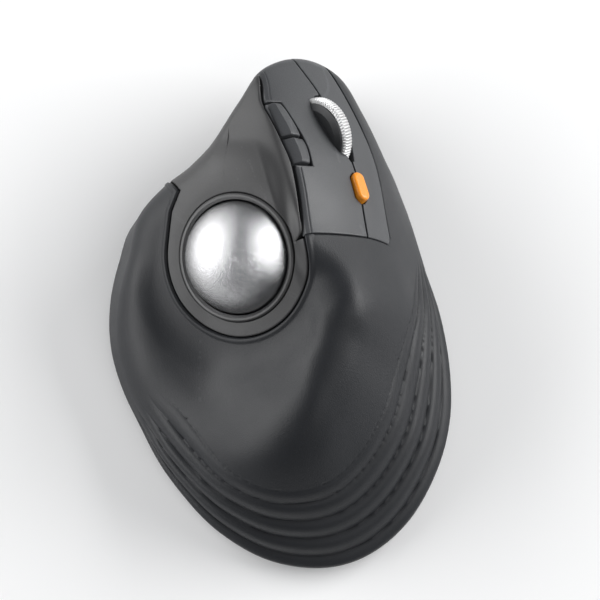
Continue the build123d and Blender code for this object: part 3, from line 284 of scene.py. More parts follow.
def line_u(line, v):
    points = np.array(line, float)
    return keyed(v, points[:, 1], points[:, 0])


def traced(line, step=1.5):
    v = np.arange(line[0][1], line[-1][1], step)
    v = np.append(v, line[-1][1])
    return list(zip(line_u(line, v), v))


BUTTON_OUTLINE = (
    traced(GAP_LINE) + [(20.0, FRONT_V)] + traced(FINGER_EDGE)[::-1] + [REAR_CORNER]
)


# How far above and below the ring's plane the panel's zone reaches
PLANE_REACH = 10.5


def thumb_depth(p):
    """How far inside the thumb panel's zone a point on the surface is."""
    a, b, c = in_plane(p, RING_O, RING_X, RING_Y, RING_N)
    near_plane = PLANE_REACH - np.abs(c - 1)
    disc = np.minimum(PANEL_RADIUS - np.hypot(a, b), near_plane)
    strip = np.minimum(inside_polygon(a, b, RING_STRIP), near_plane)
    front = inside_polygon(p[:, 0], p[:, 1], THUMB_STRIP)
    return np.maximum(np.maximum(disc, strip), front)


def button_depth(p):
    u, v, w = in_plane(p, KEY_O, KEY_X, KEY_Y, KEY_N)
    return np.minimum(inside_polygon(u, v, BUTTON_OUTLINE), w + SKIRT_DEPTH + PRESS_ROOM)


def rolled_edge(distance, radius):
    """How far an edge of that radius has dropped at a distance in from the seam."""
    d = np.clip(distance, 0, radius)
    return radius - np.sqrt(np.maximum(radius**2 - (radius - d) ** 2, 0))


def ramp(value, low, high):
    t = np.clip((value - low) / (high - low), 0, 1)
    return t * t * (3 - 2 * t)


# ---------------------------------------------------------------- mesh helpers
def new_object(name, verts, faces, body, slot, replaced):
    mesh = bpy.data.meshes.new(name)
    mesh.from_pydata((np.asarray(verts) * MM).tolist(), [], faces)
    mesh.validate()
    build = bmesh.new()
    build.from_mesh(mesh)
    bmesh.ops.remove_doubles(build, verts=build.verts, dist=1e-7)
    bmesh.ops.recalc_face_normals(build, faces=build.faces)
    build.to_mesh(mesh)
    build.free()
    obj = bpy.data.objects.new(name, mesh)
    bpy.context.scene.collection.objects.link(obj)
    mesh.shade_smooth()
    mesh.set_sharp_from_angle(angle=math.radians(50))
    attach(obj, body)
    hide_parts(*replaced)
    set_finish(obj, slot)
    return obj


def skin_faces(rows, cols, wrapped):
    """Quads of a closed sheet: an outer grid, the inner grid behind it and the rims between."""
    size = rows * cols
    last = cols if wrapped else cols - 1
    i, j = np.meshgrid(np.arange(rows - 1), np.arange(last), indexing="ij")
    k = (j + 1) % cols
    outer = np.stack([i * cols + j, i * cols + k, (i + 1) * cols + k, (i + 1) * cols + j], -1)
    outer = outer.reshape(-1, 4)
    faces = [outer, outer[:, ::-1] + size]
    j = np.arange(last)
    k = (j + 1) % cols
    for row in (0, rows - 1):
        a, b = row * cols + j, row * cols + k
        faces.append(np.stack([a, b, b + size, a + size], -1))
    if not wrapped:
        i = np.arange(rows - 1)
        for col in (0, cols - 1):
            a = i * cols + col
            faces.append(np.stack([a, a + cols, a + cols + size, a + size], -1))
    return np.concatenate(faces).tolist()


def inner_faces(node):
    """The parts of a CAD piece behind its skin: bosses, ribs, arms and stems."""
    mesh = frame["nodes"][node].data
    co = np.empty(len(mesh.vertices) * 3)
    mesh.vertices.foreach_get("co", co)
    co = co.reshape(-1, 3) / MM
    deep = outside(co) < -WALL - 0.6
    used = {}
    verts = []
    faces = []
    for polygon in mesh.polygons:
        corners = list(polygon.vertices)
        if any(deep[c] for c in corners):
            face = []
            for corner in corners:
                if corner not in used:
                    used[corner] = len(verts)
                    verts.append(co[corner])
                face.append(used[corner])
            faces.append(face)
    return np.array(verts).reshape(-1, 3), faces


def sheet_object(name, outer, inner, wrapped, body, slot, node):
    """outer and inner are grids of points, rows by columns."""
    rows, cols = outer.shape[:2]
    verts = np.concatenate([outer.reshape(-1, 3), inner.reshape(-1, 3)])
    return new_object(name, verts, skin_faces(rows, cols, wrapped), body, slot, [node])


def add_inner(obj, node):
    """Joins a CAD piece's inner parts to the skin that stands for it."""
    verts, faces = inner_faces(node)
    if not faces:
        return
    build = bmesh.new()
    build.from_mesh(obj.data)
    points = [build.verts.new(Vector(v * MM)) for v in verts]
    for face in faces:
        corners = [points[i] for i in face]
        if len(set(corners)) > 2 and build.faces.get(corners) is None:
            build.faces.new(corners)
    build.to_mesh(obj.data)
    build.free()
    obj.data.shade_smooth()
    obj.data.set_sharp_from_angle(angle=math.radians(50))


def columns_by_length(points, angles, step):
    """Angles re-spaced so that the boundary through points has even steps."""
    lengths = np.linalg.norm(np.diff(points, axis=0), axis=1)
    lengths = np.maximum(lengths, 0.05)
    run = np.concatenate([[0], np.cumsum(lengths)])
    count = int(run[-1] / step)
    return np.interp(np.linspace(0, run[-1], count), run, angles)


def boundary(points_at, depth_at, start, stop, samples, count):
    """For each column, the first parameter after start at which depth_at turns negative."""
    shares = np.linspace(0, 1, samples)
    params = start[:, None] + (stop - start)[:, None] * shares
    cols = np.repeat(np.arange(count), samples)
    inside = depth_at(points_at(cols, params.ravel())).reshape(count, samples) > 0
    inside[:, 0] = True
    first = np.argmin(inside, axis=1)
    first = np.where(inside.all(1), samples - 1, np.maximum(first, 1))
    low = params[np.arange(count), first - 1]
    high = params[np.arange(count), first]
    index = np.arange(count)
    for _ in range(16):
        mid = (low + high) / 2
        good = depth_at(points_at(index, mid)) > 0
        low = np.where(good, mid, low)
        high = np.where(good, high, mid)
    return low


# The part of a column beside the ball that takes most of its rows
DENSE_SHARE = 0.8
DENSE_REACH = 32


def row_shares(count, length, edge, both):
    """Shares along a column of that length, crowded at its rounded ends."""
    fine = np.array([0, 0.03, 0.12, 0.28, 0.5, 0.75, 1.0, 1.5, 2.2]) * edge
    low, high = fine[-1] * 1.4, max(length - fine[-1] * 1.4, fine[-1] * 1.5)
    if both:
        dense_end = low + min(DENSE_REACH, DENSE_SHARE * (high - low))
        middle = np.interp(np.linspace(0, 1, count), [0, DENSE_SHARE, 1], [low, dense_end, high])
    else:
        middle = low + (high - low) * np.linspace(0, 1, count) ** 1.3
    head = fine if both else np.linspace(0, fine[-1], 3)
    return np.concatenate([head, middle, (length - fine)[::-1]]) / length


# ---------------------------------------------------------------- palm shell
PALM_CENTRE = np.array([5.0, 20.0, -60.0])
PALM_START = -232.6
PALM_STOP = 76.8
SEAM_EDGE = 0.45
LIP_HEIGHT = 0.35
# Distances from the seam over which its lip rises and falls, and the heights where it fades in
LIP_UP = (0.1, 0.5)
LIP_DOWN = (1.15, 1.75)
LIP_FADE_Z = (12, 18)
# Upper lip of the terraced skirt, by direction, and the creases below it as shares
LIP_TURN = [-172, -160, -149, -130, -110, -82, -56, -28, -12, 0, 8, 16]
LIP_Z = [19, 20, 22, 25, 27, 28, 30, 30, 26, 20, 15, 12]
CREASES = [0.0, 0.15, 0.36, 0.57, 0.78, 1.04]
FOLD_HEIGHT = [0.6, 1.2, 1.5, 1.55, 1.4]
FOLDS_START = (-168, -142)
FOLDS_END = (-10, 12)


def palm_points(angles):
    def at(cols, tilt):
        turn = np.radians(angles[cols])
        d = np.stack([np.cos(tilt) * np.cos(turn), np.cos(tilt) * np.sin(turn), np.sin(tilt)], 1)
        return hit(PALM_CENTRE, d, 12, 180)
    return at


def palm_depth(p):
    return np.minimum(-thumb_depth(p) - SEAM, -button_depth(p))


def folds(p):
    """Outward swell of the terraced skirt."""
    turn = np.degrees(np.arctan2(p[:, 1], p[:, 0]))
    turn = np.where(turn > 90, turn - 360, turn)
    lip = keyed(turn, LIP_TURN, LIP_Z)
    share = (lip - p[:, 2]) / (lip - SKIRT_BOTTOM)
    swell = np.zeros(len(p))
    for low, high, height in zip(CREASES[:-1], CREASES[1:], FOLD_HEIGHT):
        t = np.clip((share - low) / (high - low), 0, 1)
        swell += height * (np.sin(np.pi * t**0.75) ** 0.8 - 0.45 * (t > 0) * (t < 1))
    return swell * ramp(turn, *FOLDS_START) * (1 - ramp(turn, *FOLDS_END))


def palm_shell():
    def lowest(angles):
        at = palm_points(angles)
        index = np.arange(len(angles))
        low = np.full(len(angles), 0.35)
        high = np.full(len(angles), 1.15)
        for _ in range(18):
            mid = (low + high) / 2
            under = at(index, mid)[:, 2] < SKIRT_BOTTOM
            low = np.where(under, mid, low)
            high = np.where(under, high, mid)
        return high

    angles = np.linspace(PALM_START, PALM_STOP, 420)
    for attempt in range(2):
        at = palm_points(angles)
        start = lowest(angles)
        stop = np.full(len(angles), 1.56)
        top = boundary(at, palm_depth, start, stop, 160, len(angles))
        if attempt == 0:
            edge = at(np.arange(len(angles)), top)
            foot = at(np.arange(len(angles)), start)
            spread = np.concatenate([edge, foot * 1.5], 1)
            angles = columns_by_length(spread, angles, 0.75 * COARSE)
    count = len(angles)
    index = np.arange(count)
    length = np.linalg.norm(at(index, top) - at(index, start), axis=1) + 1.0
    shares = np.stack([row_shares(int(170 / COARSE), max(n, 3.0), SEAM_EDGE, False) for n in length], 1)
    rows = shares.shape[0]
    tilt = start + (top - start) * np.clip(shares, 0, 1)
    p = at(np.tile(index, rows), tilt.ravel())
    n = normals(p)
    thumb = np.maximum(-thumb_depth(p) - SEAM, 0)
    edge = np.minimum(thumb, np.maximum(-button_depth(p), 0))
    on_skirt = ramp(p[:, 2], *LIP_FADE_Z)
    lip = LIP_HEIGHT * (ramp(thumb, *LIP_UP) - ramp(thumb, *LIP_DOWN)) * on_skirt
    rise = folds(p) + lip - rolled_edge(edge, SEAM_EDGE)
    outer = (p + n * rise[:, None]).reshape(rows, count, 3)
    outer[..., 2] = np.maximum(outer[..., 2], SKIRT_BOTTOM)
    inner = (p - n * WALL).reshape(rows, count, 3)
    inner[0, :, 2] = SKIRT_BOTTOM
    return sheet_object("Palm_Shell", outer, inner, False, "chassis", "soft_touch", "palm_shell")


# ---------------------------------------------------------------- thumb panel
PANEL_CENTRE = RING_O - RING_N * 60
HOLE_RADIUS = RING_OUTER + 0.15


def panel_points(angles):
    def at(cols, tilt):
        turn = angles[cols]
        across = np.cos(turn)[:, None] * RING_X + np.sin(turn)[:, None] * RING_Y
        d = across * np.sin(tilt)[:, None] + RING_N * np.cos(tilt)[:, None]
        return hit(PANEL_CENTRE, d, 12, 150)
    return at


TUCK = 9.0
TUCK_DROP = 2.4
WING_X = -12.0


def past_palm(p):
    """Distance beyond the palm shell's front end, round the wall."""
    end = math.radians(PALM_START)
    return (p[:, 0] - PALM_CENTRE[0]) * math.sin(end) - (p[:, 1] - PALM_CENTRE[1]) * math.cos(end)


def panel_depth(p):
    """The panel's zone, run on round the wall and tucked under the palm shell's front end."""
    beyond = past_palm(p)
    zone = np.maximum(thumb_depth(p), np.minimum(beyond + TUCK, WING_X - p[:, 0]))
    return np.minimum(np.minimum(zone, -button_depth(p)), p[:, 2] - SKIRT_BOTTOM)


def thumb_panel():
    angles = np.linspace(0, 2 * np.pi, 500, endpoint=False)
    for attempt in range(2):
        at = panel_points(angles)
        count = len(angles)
        index = np.arange(count)
        start = np.full(count, 0.15)
        stop = np.full(count, 0.6)
        for _ in range(18):
            mid = (start + stop) / 2
            a, b, _c = in_plane(at(index, mid), RING_O, RING_X, RING_Y, RING_N)
            close = np.hypot(a, b) < HOLE_RADIUS
            start = np.where(close, mid, start)
            stop = np.where(close, stop, mid)
        top = boundary(at, panel_depth, stop, np.full(count, 1.5), 220, count)
        if attempt == 0:
            edge = at(index, top)
            ring = np.stack([np.cos(angles), np.sin(angles)], 1) * 25
            closed = np.concatenate([edge, ring], 1)
            closed = np.concatenate([closed, closed[:1]])
            angles = columns_by_length(closed, np.append(angles, 2 * np.pi), 0.6 * COARSE)[:-1]
    length = np.linalg.norm(at(index, top) - at(index, stop), axis=1)
    shares = np.stack([row_shares(int(130 / COARSE), max(n, 2.6), SEAM_EDGE, True) for n in length], 1)
    rows = shares.shape[0]
    tilt = stop + (top - stop) * np.clip(shares, 0, 1)
    p = at(np.tile(index, rows), tilt.ravel())
    n = normals(p)
    a, b, _c = in_plane(p, RING_O, RING_X, RING_Y, RING_N)
    hole = np.hypot(a, b) - HOLE_RADIUS
    beyond = past_palm(p)
    depth = thumb_depth(p)
    seam = np.where((beyond > 0) & (p[:, 0] < WING_X), np.maximum(depth, beyond), depth)
    edge = np.minimum(np.minimum(seam, -button_depth(p)), hole)
    rise = -rolled_edge(np.maximum(edge, 0), SEAM_EDGE)
    tucked = (depth < 0) * (1 - ramp(beyond, 0.1, 0.6))
    rise = rise - (TUCK_DROP - SEAM_EDGE) * tucked
    outer = (p + n * rise[:, None]).reshape(rows, count, 3)
    inner = (p - n * WALL).reshape(rows, count, 3)
    return sheet_object("Thumb_Panel", outer, inner, True, "chassis", "panel_plastic", "thumb_panel")


# ---------------------------------------------------------------- finger buttons
BUTTON_EDGE = 0.35
FACET_WIDTH = 1.5
FACET_FALL = 0.40
FACET_GROOVE = 0.22
GROOVE_WIDTH = 0.16
# The facet stops beside the side keys
FACET_ENDS = (20.9, 21.6)
FACET_RESUMES = (43.9, 44.6)


def turned_box(spot, size, degrees, corner):
    """Outline of a box with cut corners, turned on the button plane."""
    w, h = size[0] / 2, size[1] / 2
    points = [(-w + corner, -h), (w - corner, -h), (w, -h + corner), (w, h - corner)]
    points += [(w - corner, h), (-w + corner, h), (-w, h - corner), (-w, -h + corner)]
    c, s = math.cos(math.radians(degrees)), math.sin(math.radians(degrees))
    return [(spot[0] + x * c - y * s, spot[1] + x * s + y * c) for x, y in points]


WHEEL_SLOT = [
    (23.6, 25.3), (24.9, 25.9), (25.6, 31.0), (24.4, 40.0), (21.9, 47.2),
    (17.0, 47.9), (16.3, 47.0), (17.9, 41.0), (20.6, 31.0),
]
DPI_SLOT = turned_box(DPI_SPOT, (DPI_SIZE[0] + 2 * BUTTON_GAP, DPI_SIZE[1] + 2 * BUTTON_GAP), DPI_TURN, 1.7)


def span_at(polygon, v):
    """Lowest and highest u of an outline at v, or None beyond its ends."""
    points = np.array(polygon)
    nexts = np.roll(points, -1, 0)
    crossings = []
    for (u0, v0), (u1, v1) in zip(points, nexts):
        if (v0 <= v < v1) or (v1 <= v < v0):
            crossings.append(u0 + (u1 - u0) * (v - v0) / (v1 - v0))
    return (min(crossings), max(crossings)) if len(crossings) > 1 else None


def surface_w(u, v):
    """Height of the form over the button plane."""
    base = key_point(u, v, -16.0)
    reach = hit(base, np.broadcast_to(KEY_N, base.shape), 0, 26)
    return (reach - KEY_O) @ KEY_N


def button_rows(extra, stop):
    """Stations along the fingers, crowded at each edge that crosses them."""
    near = np.array([0, 0.02, 0.06, 0.14, 0.26, 0.42, 0.7, 1.1])
    rows = [np.arange(BUTTON_GAP, stop, 0.55), BUTTON_GAP + near]
    for edge in extra:
        rows += [edge + near + 0.005, edge - near - 0.005]
    rows = np.unique(np.round(np.concatenate(rows), 4))
    rows = rows[(rows >= BUTTON_GAP) & (rows <= stop)]
    keep = np.concatenate([[True], np.diff(rows) > 0.004])
    return rows[keep]


def finger_button(name, node, body, left_at, right_at, breaks, facet, columns):
    rows = button_rows(breaks, 47.9)
    lefts = np.array([left_at(v) for v in rows])
    rights = np.array([right_at(v) for v in rows])
    fine = np.array([0, 0.02, 0.06, 0.14, 0.26, 0.42, 0.8, 1.2, 1.34, 1.42, 1.5, 1.58, 1.66, 1.8, 2.1])
    width = rights - lefts
    middle = np.linspace(0, 1, columns)[1:-1]
    grid_u = []
    for low, high, span in zip(lefts, rights, width):
        squeeze = min(1.0, span / 6.0)
        inner = low + fine[-1] * squeeze + (span - 2 * fine[-1] * squeeze) * middle
        grid_u.append(np.concatenate([low + fine * squeeze, inner, (high - fine * squeeze)[::-1]]))
    u = np.array(grid_u)
    v = np.repeat(rows[:, None], u.shape[1], 1)
    # The nose: columns run on until the front wall has fallen to the skirt's depth
    share = (u[-1] - lefts[-1]) / width[-1]
    low = np.full(u.shape[1], rows[-1])
    high = np.full(u.shape[1], FRONT_V)

    def nose_u(at_v):
        a = np.array([left_at(x) for x in at_v])
        b = np.array([right_at(x) for x in at_v])
        return a + (b - a) * share

    for _ in range(18):
        mid = (low + high) / 2
        tall = surface_w(nose_u(mid), mid) > -SKIRT_DEPTH
        low = np.where(tall, mid, low)
        high = np.where(tall, high, mid)
    steps = np.linspace(0, 1, 60)[1:] ** 0.8
    nose_v = rows[-1] + (low - rows[-1]) * steps[:, None]
    nose = np.array([nose_u(row) for row in nose_v])
    u = np.concatenate([u, nose])
    v = np.concatenate([v, nose_v])
    count = u.shape
    left_edge = np.array([left_at(x) for x in v[:, 0]])
    outline = list(zip(left_edge, v[:, 0]))
    outline += list(zip(u[-1], v[-1] + 3.0))
    outline += list(zip(u[::-1, -1], v[::-1, -1]))
    flat_u, flat_v = u.ravel(), v.ravel()
    w = surface_w(flat_u, flat_v)
    edge = np.maximum(inside_polygon(flat_u, flat_v, outline), 0)
    rise = -rolled_edge(edge, BUTTON_EDGE)
    if facet:
        from_ridge = flat_u - line_u(GAP_LINE, flat_v) - ridge_gap(flat_v)
        along = 1 - ramp(flat_v, *FACET_ENDS) + ramp(flat_v, *FACET_RESUMES)
        rise = rise - FACET_FALL * np.maximum(FACET_WIDTH - from_ridge, 0) * along
        groove = np.exp(-(((from_ridge - FACET_WIDTH) / GROOVE_WIDTH) ** 2))
        rise = rise - FACET_GROOVE * groove * along
    outer = key_point(flat_u, flat_v, w + rise).reshape(*count, 3)
    inner = key_point(flat_u, flat_v, w - WALL).reshape(*count, 3)
    obj = sheet_object(name, outer, inner, False, body, "button_plastic", node)
    add_inner(obj, node)
    return obj


NOSE_CLOSING = 0.85
NOSE_V = (48.0, 58.0)


def ridge_gap(v):
    """The dark gap beside the panel, closing up towards the nose."""
    return RIDGE_GAP * (1 - NOSE_CLOSING * ramp(v, *NOSE_V))


def left_low(v):
    ridge = line_u(GAP_LINE, v) + ridge_gap(v)
    if SIDE_ARC[0][1] <= v <= SIDE_ARC[-1][1]:
        return max(ridge, float(line_u(SIDE_ARC, v)))
    return float(ridge)


def left_high(v):
    edge = float(line_u(SPLIT_LINE, v)) - BUTTON_GAP / 2
    for slot in (WHEEL_SLOT, DPI_SLOT):
        span = span_at(slot, v)
        if span:
            edge = min(edge, span[0])
    return edge


def right_low(v):
    edge = float(line_u(SPLIT_LINE, v)) + BUTTON_GAP / 2
    for slot in (WHEEL_SLOT, DPI_SLOT):
        span = span_at(slot, v)
        if span:
            edge = max(edge, span[1])
    return edge


def right_high(v):
    if v < FINGER_EDGE[0][1]:
        t = max(v, 0) / FINGER_EDGE[0][1]
        return REAR_CORNER[0] + 0.2 + (FINGER_EDGE[0][0] - BUTTON_GAP - REAR_CORNER[0] - 0.2) * math.sqrt(t)
    return float(line_u(FINGER_EDGE, v)) - BUTTON_GAP


def ends_of(polygon):
    vs = [v for _, v in polygon]
    return [min(vs), max(vs)]


# ---------------------------------------------------------------- side keys
KEY_CREST = 0.85
KEY_EDGE = 0.6
KEY_BAND = 1.3
KEY_BOW = 0.55
KEY_DEPTH = 2.6
# The crest's place across a key, and how steeply it falls away on either side
CREST_SHARE = 0.44
CREST_FALL_LEFT = 0.62
CREST_FALL_RIGHT = 0.17


def side_key(name, node, body, start, stop):
    near = np.array([0, 0.03, 0.1, 0.22, 0.4, 0.65, 1.0])
    between = np.linspace(start + KEY_BAND, stop - KEY_BAND, 26)
    rows = np.unique(np.concatenate([start + near, between, stop - near]))
    lefts = line_u(GAP_LINE, rows) + RIDGE_GAP * 0.75
    rights = line_u(SIDE_ARC, rows) - BUTTON_GAP
    bow = KEY_BOW * (1 - ((rows - (start + stop) / 2) / ((stop - start) / 2)) ** 4)
    rights = rights - KEY_BOW + bow
    u = np.array([
        np.concatenate([a + near, np.linspace(a + KEY_BAND, b - KEY_BAND, 30), (b - near)[::-1]])
        for a, b in zip(lefts, rights)
    ])
    v = np.repeat(rows[:, None], u.shape[1], 1)
    shape = u.shape
    outline = list(zip(lefts, rows)) + list(zip(rights[::-1], rows[::-1]))
    flat_u, flat_v = u.ravel(), v.ravel()
    w = surface_w(flat_u, flat_v)
    low = np.interp(flat_v, rows, lefts)
    high = np.interp(flat_v, rows, rights)
    across = (flat_u - low) / (high - low)
    left_fall = np.maximum(CREST_SHARE - across, 0) * (high - low) * CREST_FALL_LEFT
    right_fall = np.maximum(across - CREST_SHARE, 0) * (high - low) * CREST_FALL_RIGHT
    edge = np.maximum(inside_polygon(flat_u, flat_v, outline), 0)
    rise = KEY_CREST - left_fall - right_fall - rolled_edge(edge, KEY_EDGE)
    outer = key_point(flat_u, flat_v, w + rise).reshape(*shape, 3)
    inner = key_point(flat_u, flat_v, w - KEY_DEPTH).reshape(*shape, 3)
    obj = sheet_object(name, outer, inner, False, body, "button_plastic", node)
    add_inner(obj, node)
    return obj


# ---------------------------------------------------------------- ball and tyre
BALL_RADIUS = 17.0
BALL_CELLS = 96


def thumb_ball():
    """Six curved patches, as a pressed and ground ball, with a trace of orange peel."""
    steps = np.tan(np.linspace(-np.pi / 4, np.pi / 4, BALL_CELLS + 1))
    a, b = np.meshgrid(steps, steps, indexing="ij")
    verts, faces = [], []
    i, j = np.meshgrid(np.arange(BALL_CELLS), np.arange(BALL_CELLS), indexing="ij")
    size = BALL_CELLS + 1
    first = i * size + j
    quad = np.stack([first, first + size, first + size + 1, first + 1], -1).reshape(-1, 4)
    for axis in range(3):
        for sign in (-1, 1):
            p = np.stack([np.full_like(a, sign), a, b], -1).reshape(-1, 3)
            p = np.roll(p, axis, axis=1)
            faces += (quad + len(verts) * size * size).tolist()
            verts.append(p / np.linalg.norm(p, axis=1, keepdims=True))
    d = np.concatenate(verts)
    peel = 0.004 * np.sin(d[:, 0] * 61) * np.sin(d[:, 1] * 67 + 1) * np.sin(d[:, 2] * 71 + 2)
    points = BALL_CENTRE + d * (BALL_RADIUS + peel - 0.004)[:, None]
    return new_object("Thumb_Ball", points, faces, "ball", "ball_metal", ["trackball"])


WHEEL_RADIUS = 11.2
WHEEL_SINK = -3.9
TREAD_WIDTH = 3.4
TREAD_INNER = 8.6
RIBS = 76
RIB_DEPTH = 0.6


def wheel_tyre():
    """Ribbed tyre: each rib is a rounded bar across the tread."""
    turn = math.radians(WHEEL_TURN)
    axle = KEY_X * math.cos(turn) + KEY_Y * math.sin(turn)
    front = np.cross(KEY_N, axle)
    centre = key_point(*WHEEL_SPOT, WHEEL_SINK)
    per_rib = 8
    count = RIBS * per_rib
    angle = np.arange(count) * 2 * np.pi / count
    phase = (np.arange(count) % per_rib) / per_rib
    rib = np.array([0.0, 0.2, 0.9, 1.0, 1.0, 0.9, 0.2, 0.0])[(phase * per_rib).astype(int)]
    half = TREAD_WIDTH / 2
    profile = [
        (-half, TREAD_INNER, 0), (-half, WHEEL_RADIUS - 0.75, 0), (-half + 0.12, WHEEL_RADIUS - 0.4, 0.6),
        (-half + 0.4, WHEEL_RADIUS - 0.1, 0.9), (-half + 0.8, WHEEL_RADIUS, 1), (0, WHEEL_RADIUS, 1),
        (half - 0.8, WHEEL_RADIUS, 1), (half - 0.4, WHEEL_RADIUS - 0.1, 0.9),
        (half - 0.12, WHEEL_RADIUS - 0.4, 0.6), (half, WHEEL_RADIUS - 0.75, 0), (half, TREAD_INNER, 0),
    ]
    verts = []
    for across, radius, share in profile:
        r = radius - RIB_DEPTH * share * (1 - rib)
        ring = centre + axle * across
        verts.append(ring + r[:, None] * (np.cos(angle)[:, None] * front + np.sin(angle)[:, None] * KEY_N))
    rows = len(profile)
    i, j = np.meshgrid(np.arange(rows), np.arange(count), indexing="ij")
    k, m = (j + 1) % count, (i + 1) % rows
    faces = np.stack([i * count + j, i * count + k, m * count + k, m * count + j], -1)
    faces = faces.reshape(-1, 4).tolist()
    verts = np.concatenate(verts)
    return new_object("Wheel_Tyre", verts, faces, "wheel_body", "tread_metal", ["scroll_tyre"])


# ---------------------------------------------------------------- the skins in place
thumb_ball()
wheel_tyre()
palm = palm_shell()
panel = thumb_panel()
left = finger_button(
    "Left_Button", "left_button", "left_click_body", left_low, left_high,
    [SIDE_ARC[0][1], SIDE_ARC[-1][1], *ends_of(WHEEL_SLOT), *ends_of(DPI_SLOT)], True, 44,
)
right = finger_button(
    "Right_Button", "right_button", "right_click_body", right_low, right_high,
    [*ends_of(WHEEL_SLOT), *ends_of(DPI_SLOT)], False, 30,
)
for key_name, (node, start, stop) in SIDE_KEYS.items():
    side_key(key_name, node, node.replace("button", "body"), start, stop)
add_inner(palm, "palm_shell")
add_inner(panel, "thumb_panel")


# ---------------------------------------------------------------- materials
def material(
    slot, colour, roughness, metallic=0.0, grain=2600.0, bump=0.12,
    mottle=0.12, wear=0.25, cavity=0.5, **extra,
):
    """A procedural finish: fine grain, slow colour drift, paler worn edges and painted shade darkening the
    hollows.
    """
    mat = bpy.data.materials.new(slot)
    mat.use_nodes = True
    nodes, links = mat.node_tree.nodes, mat.node_tree.links
    shader = nodes["Principled BSDF"]
    coords = nodes.new("ShaderNodeTexCoord")
    fine = nodes.new("ShaderNodeTexNoise")
    fine.inputs["Scale"].default_value = grain
    fine.inputs["Detail"].default_value = 3.0
    slow = nodes.new("ShaderNodeTexNoise")
    slow.inputs["Scale"].default_value = 55.0
    slow.inputs["Detail"].default_value = 4.0
    links.new(coords.outputs["Object"], fine.inputs["Vector"])
    links.new(coords.outputs["Object"], slow.inputs["Vector"])
    drift = nodes.new("ShaderNodeMix")
    drift.data_type = "RGBA"
    drift.inputs[6].default_value = (*[c * (1 - mottle) for c in colour], 1)
    drift.inputs[7].default_value = (*[min(c * (1 + mottle), 1) for c in colour], 1)
    links.new(slow.outputs["Fac"], drift.inputs[0])
    speck = nodes.new("ShaderNodeMix")
    speck.data_type = "RGBA"
    speck.blend_type = "MULTIPLY"
    speck.inputs[0].default_value = 0.35
    links.new(drift.outputs[2], speck.inputs[6])
    tone = nodes.new("ShaderNodeMapRange")
    tone.inputs["From Min"].default_value = 0.3
    tone.inputs["From Max"].default_value = 0.7
    tone.inputs["To Min"].default_value = 0.75
    tone.inputs["To Max"].default_value = 1.25
    links.new(fine.outputs["Fac"], tone.inputs["Value"])
    links.new(tone.outputs["Result"], speck.inputs[7])
    geometry = nodes.new("ShaderNodeNewGeometry")
    worn = nodes.new("ShaderNodeMapRange")
    worn.inputs["From Min"].default_value = 0.52
    worn.inputs["From Max"].default_value = 0.62
    worn.inputs["To Max"].default_value = wear
    links.new(geometry.outputs["Pointiness"], worn.inputs["Value"])
    edge = nodes.new("ShaderNodeMix")
    edge.data_type = "RGBA"
    links.new(worn.outputs["Result"], edge.inputs[0])
    links.new(speck.outputs[2], edge.inputs[6])
    edge.inputs[7].default_value = (*[min(c * 1.8 + 0.02, 1) for c in colour], 1)
    # Painted shade: hollows (low pointiness) are multiplied darker, by up to the cavity amount, in place of
    # the shade that falls in creases, grooves and recesses.
    hollow = nodes.new("ShaderNodeMapRange")
    hollow.inputs["From Min"].default_value = 0.40
    hollow.inputs["From Max"].default_value = 0.49
    hollow.inputs["To Min"].default_value = 1 - cavity
    links.new(geometry.outputs["Pointiness"], hollow.inputs["Value"])
    painted_hollow_shade = nodes.new("ShaderNodeMix")
    painted_hollow_shade.data_type = "RGBA"
    painted_hollow_shade.blend_type = "MULTIPLY"
    painted_hollow_shade.inputs[0].default_value = 1.0
    links.new(edge.outputs[2], painted_hollow_shade.inputs[6])
    links.new(hollow.outputs["Result"], painted_hollow_shade.inputs[7])
    links.new(painted_hollow_shade.outputs[2], shader.inputs["Base Color"])
    rough = nodes.new("ShaderNodeMapRange")
    rough.inputs["From Min"].default_value = 0.3
    rough.inputs["From Max"].default_value = 0.7
    rough.inputs["To Min"].default_value = max(roughness - 0.05, 0.02)
    rough.inputs["To Max"].default_value = min(roughness + 0.05, 1)
    links.new(slow.outputs["Fac"], rough.inputs["Value"])
    links.new(rough.outputs["Result"], shader.inputs["Roughness"])
    relief = nodes.new("ShaderNodeBump")
    relief.inputs["Strength"].default_value = bump
    relief.inputs["Distance"].default_value = 0.0002
    links.new(fine.outputs["Fac"], relief.inputs["Height"])
    links.new(relief.outputs["Normal"], shader.inputs["Normal"])
    shader.inputs["Metallic"].default_value = metallic
    for socket, value in extra.items():
        shader.inputs[socket.replace("_", " ")].default_value = value
    return mat


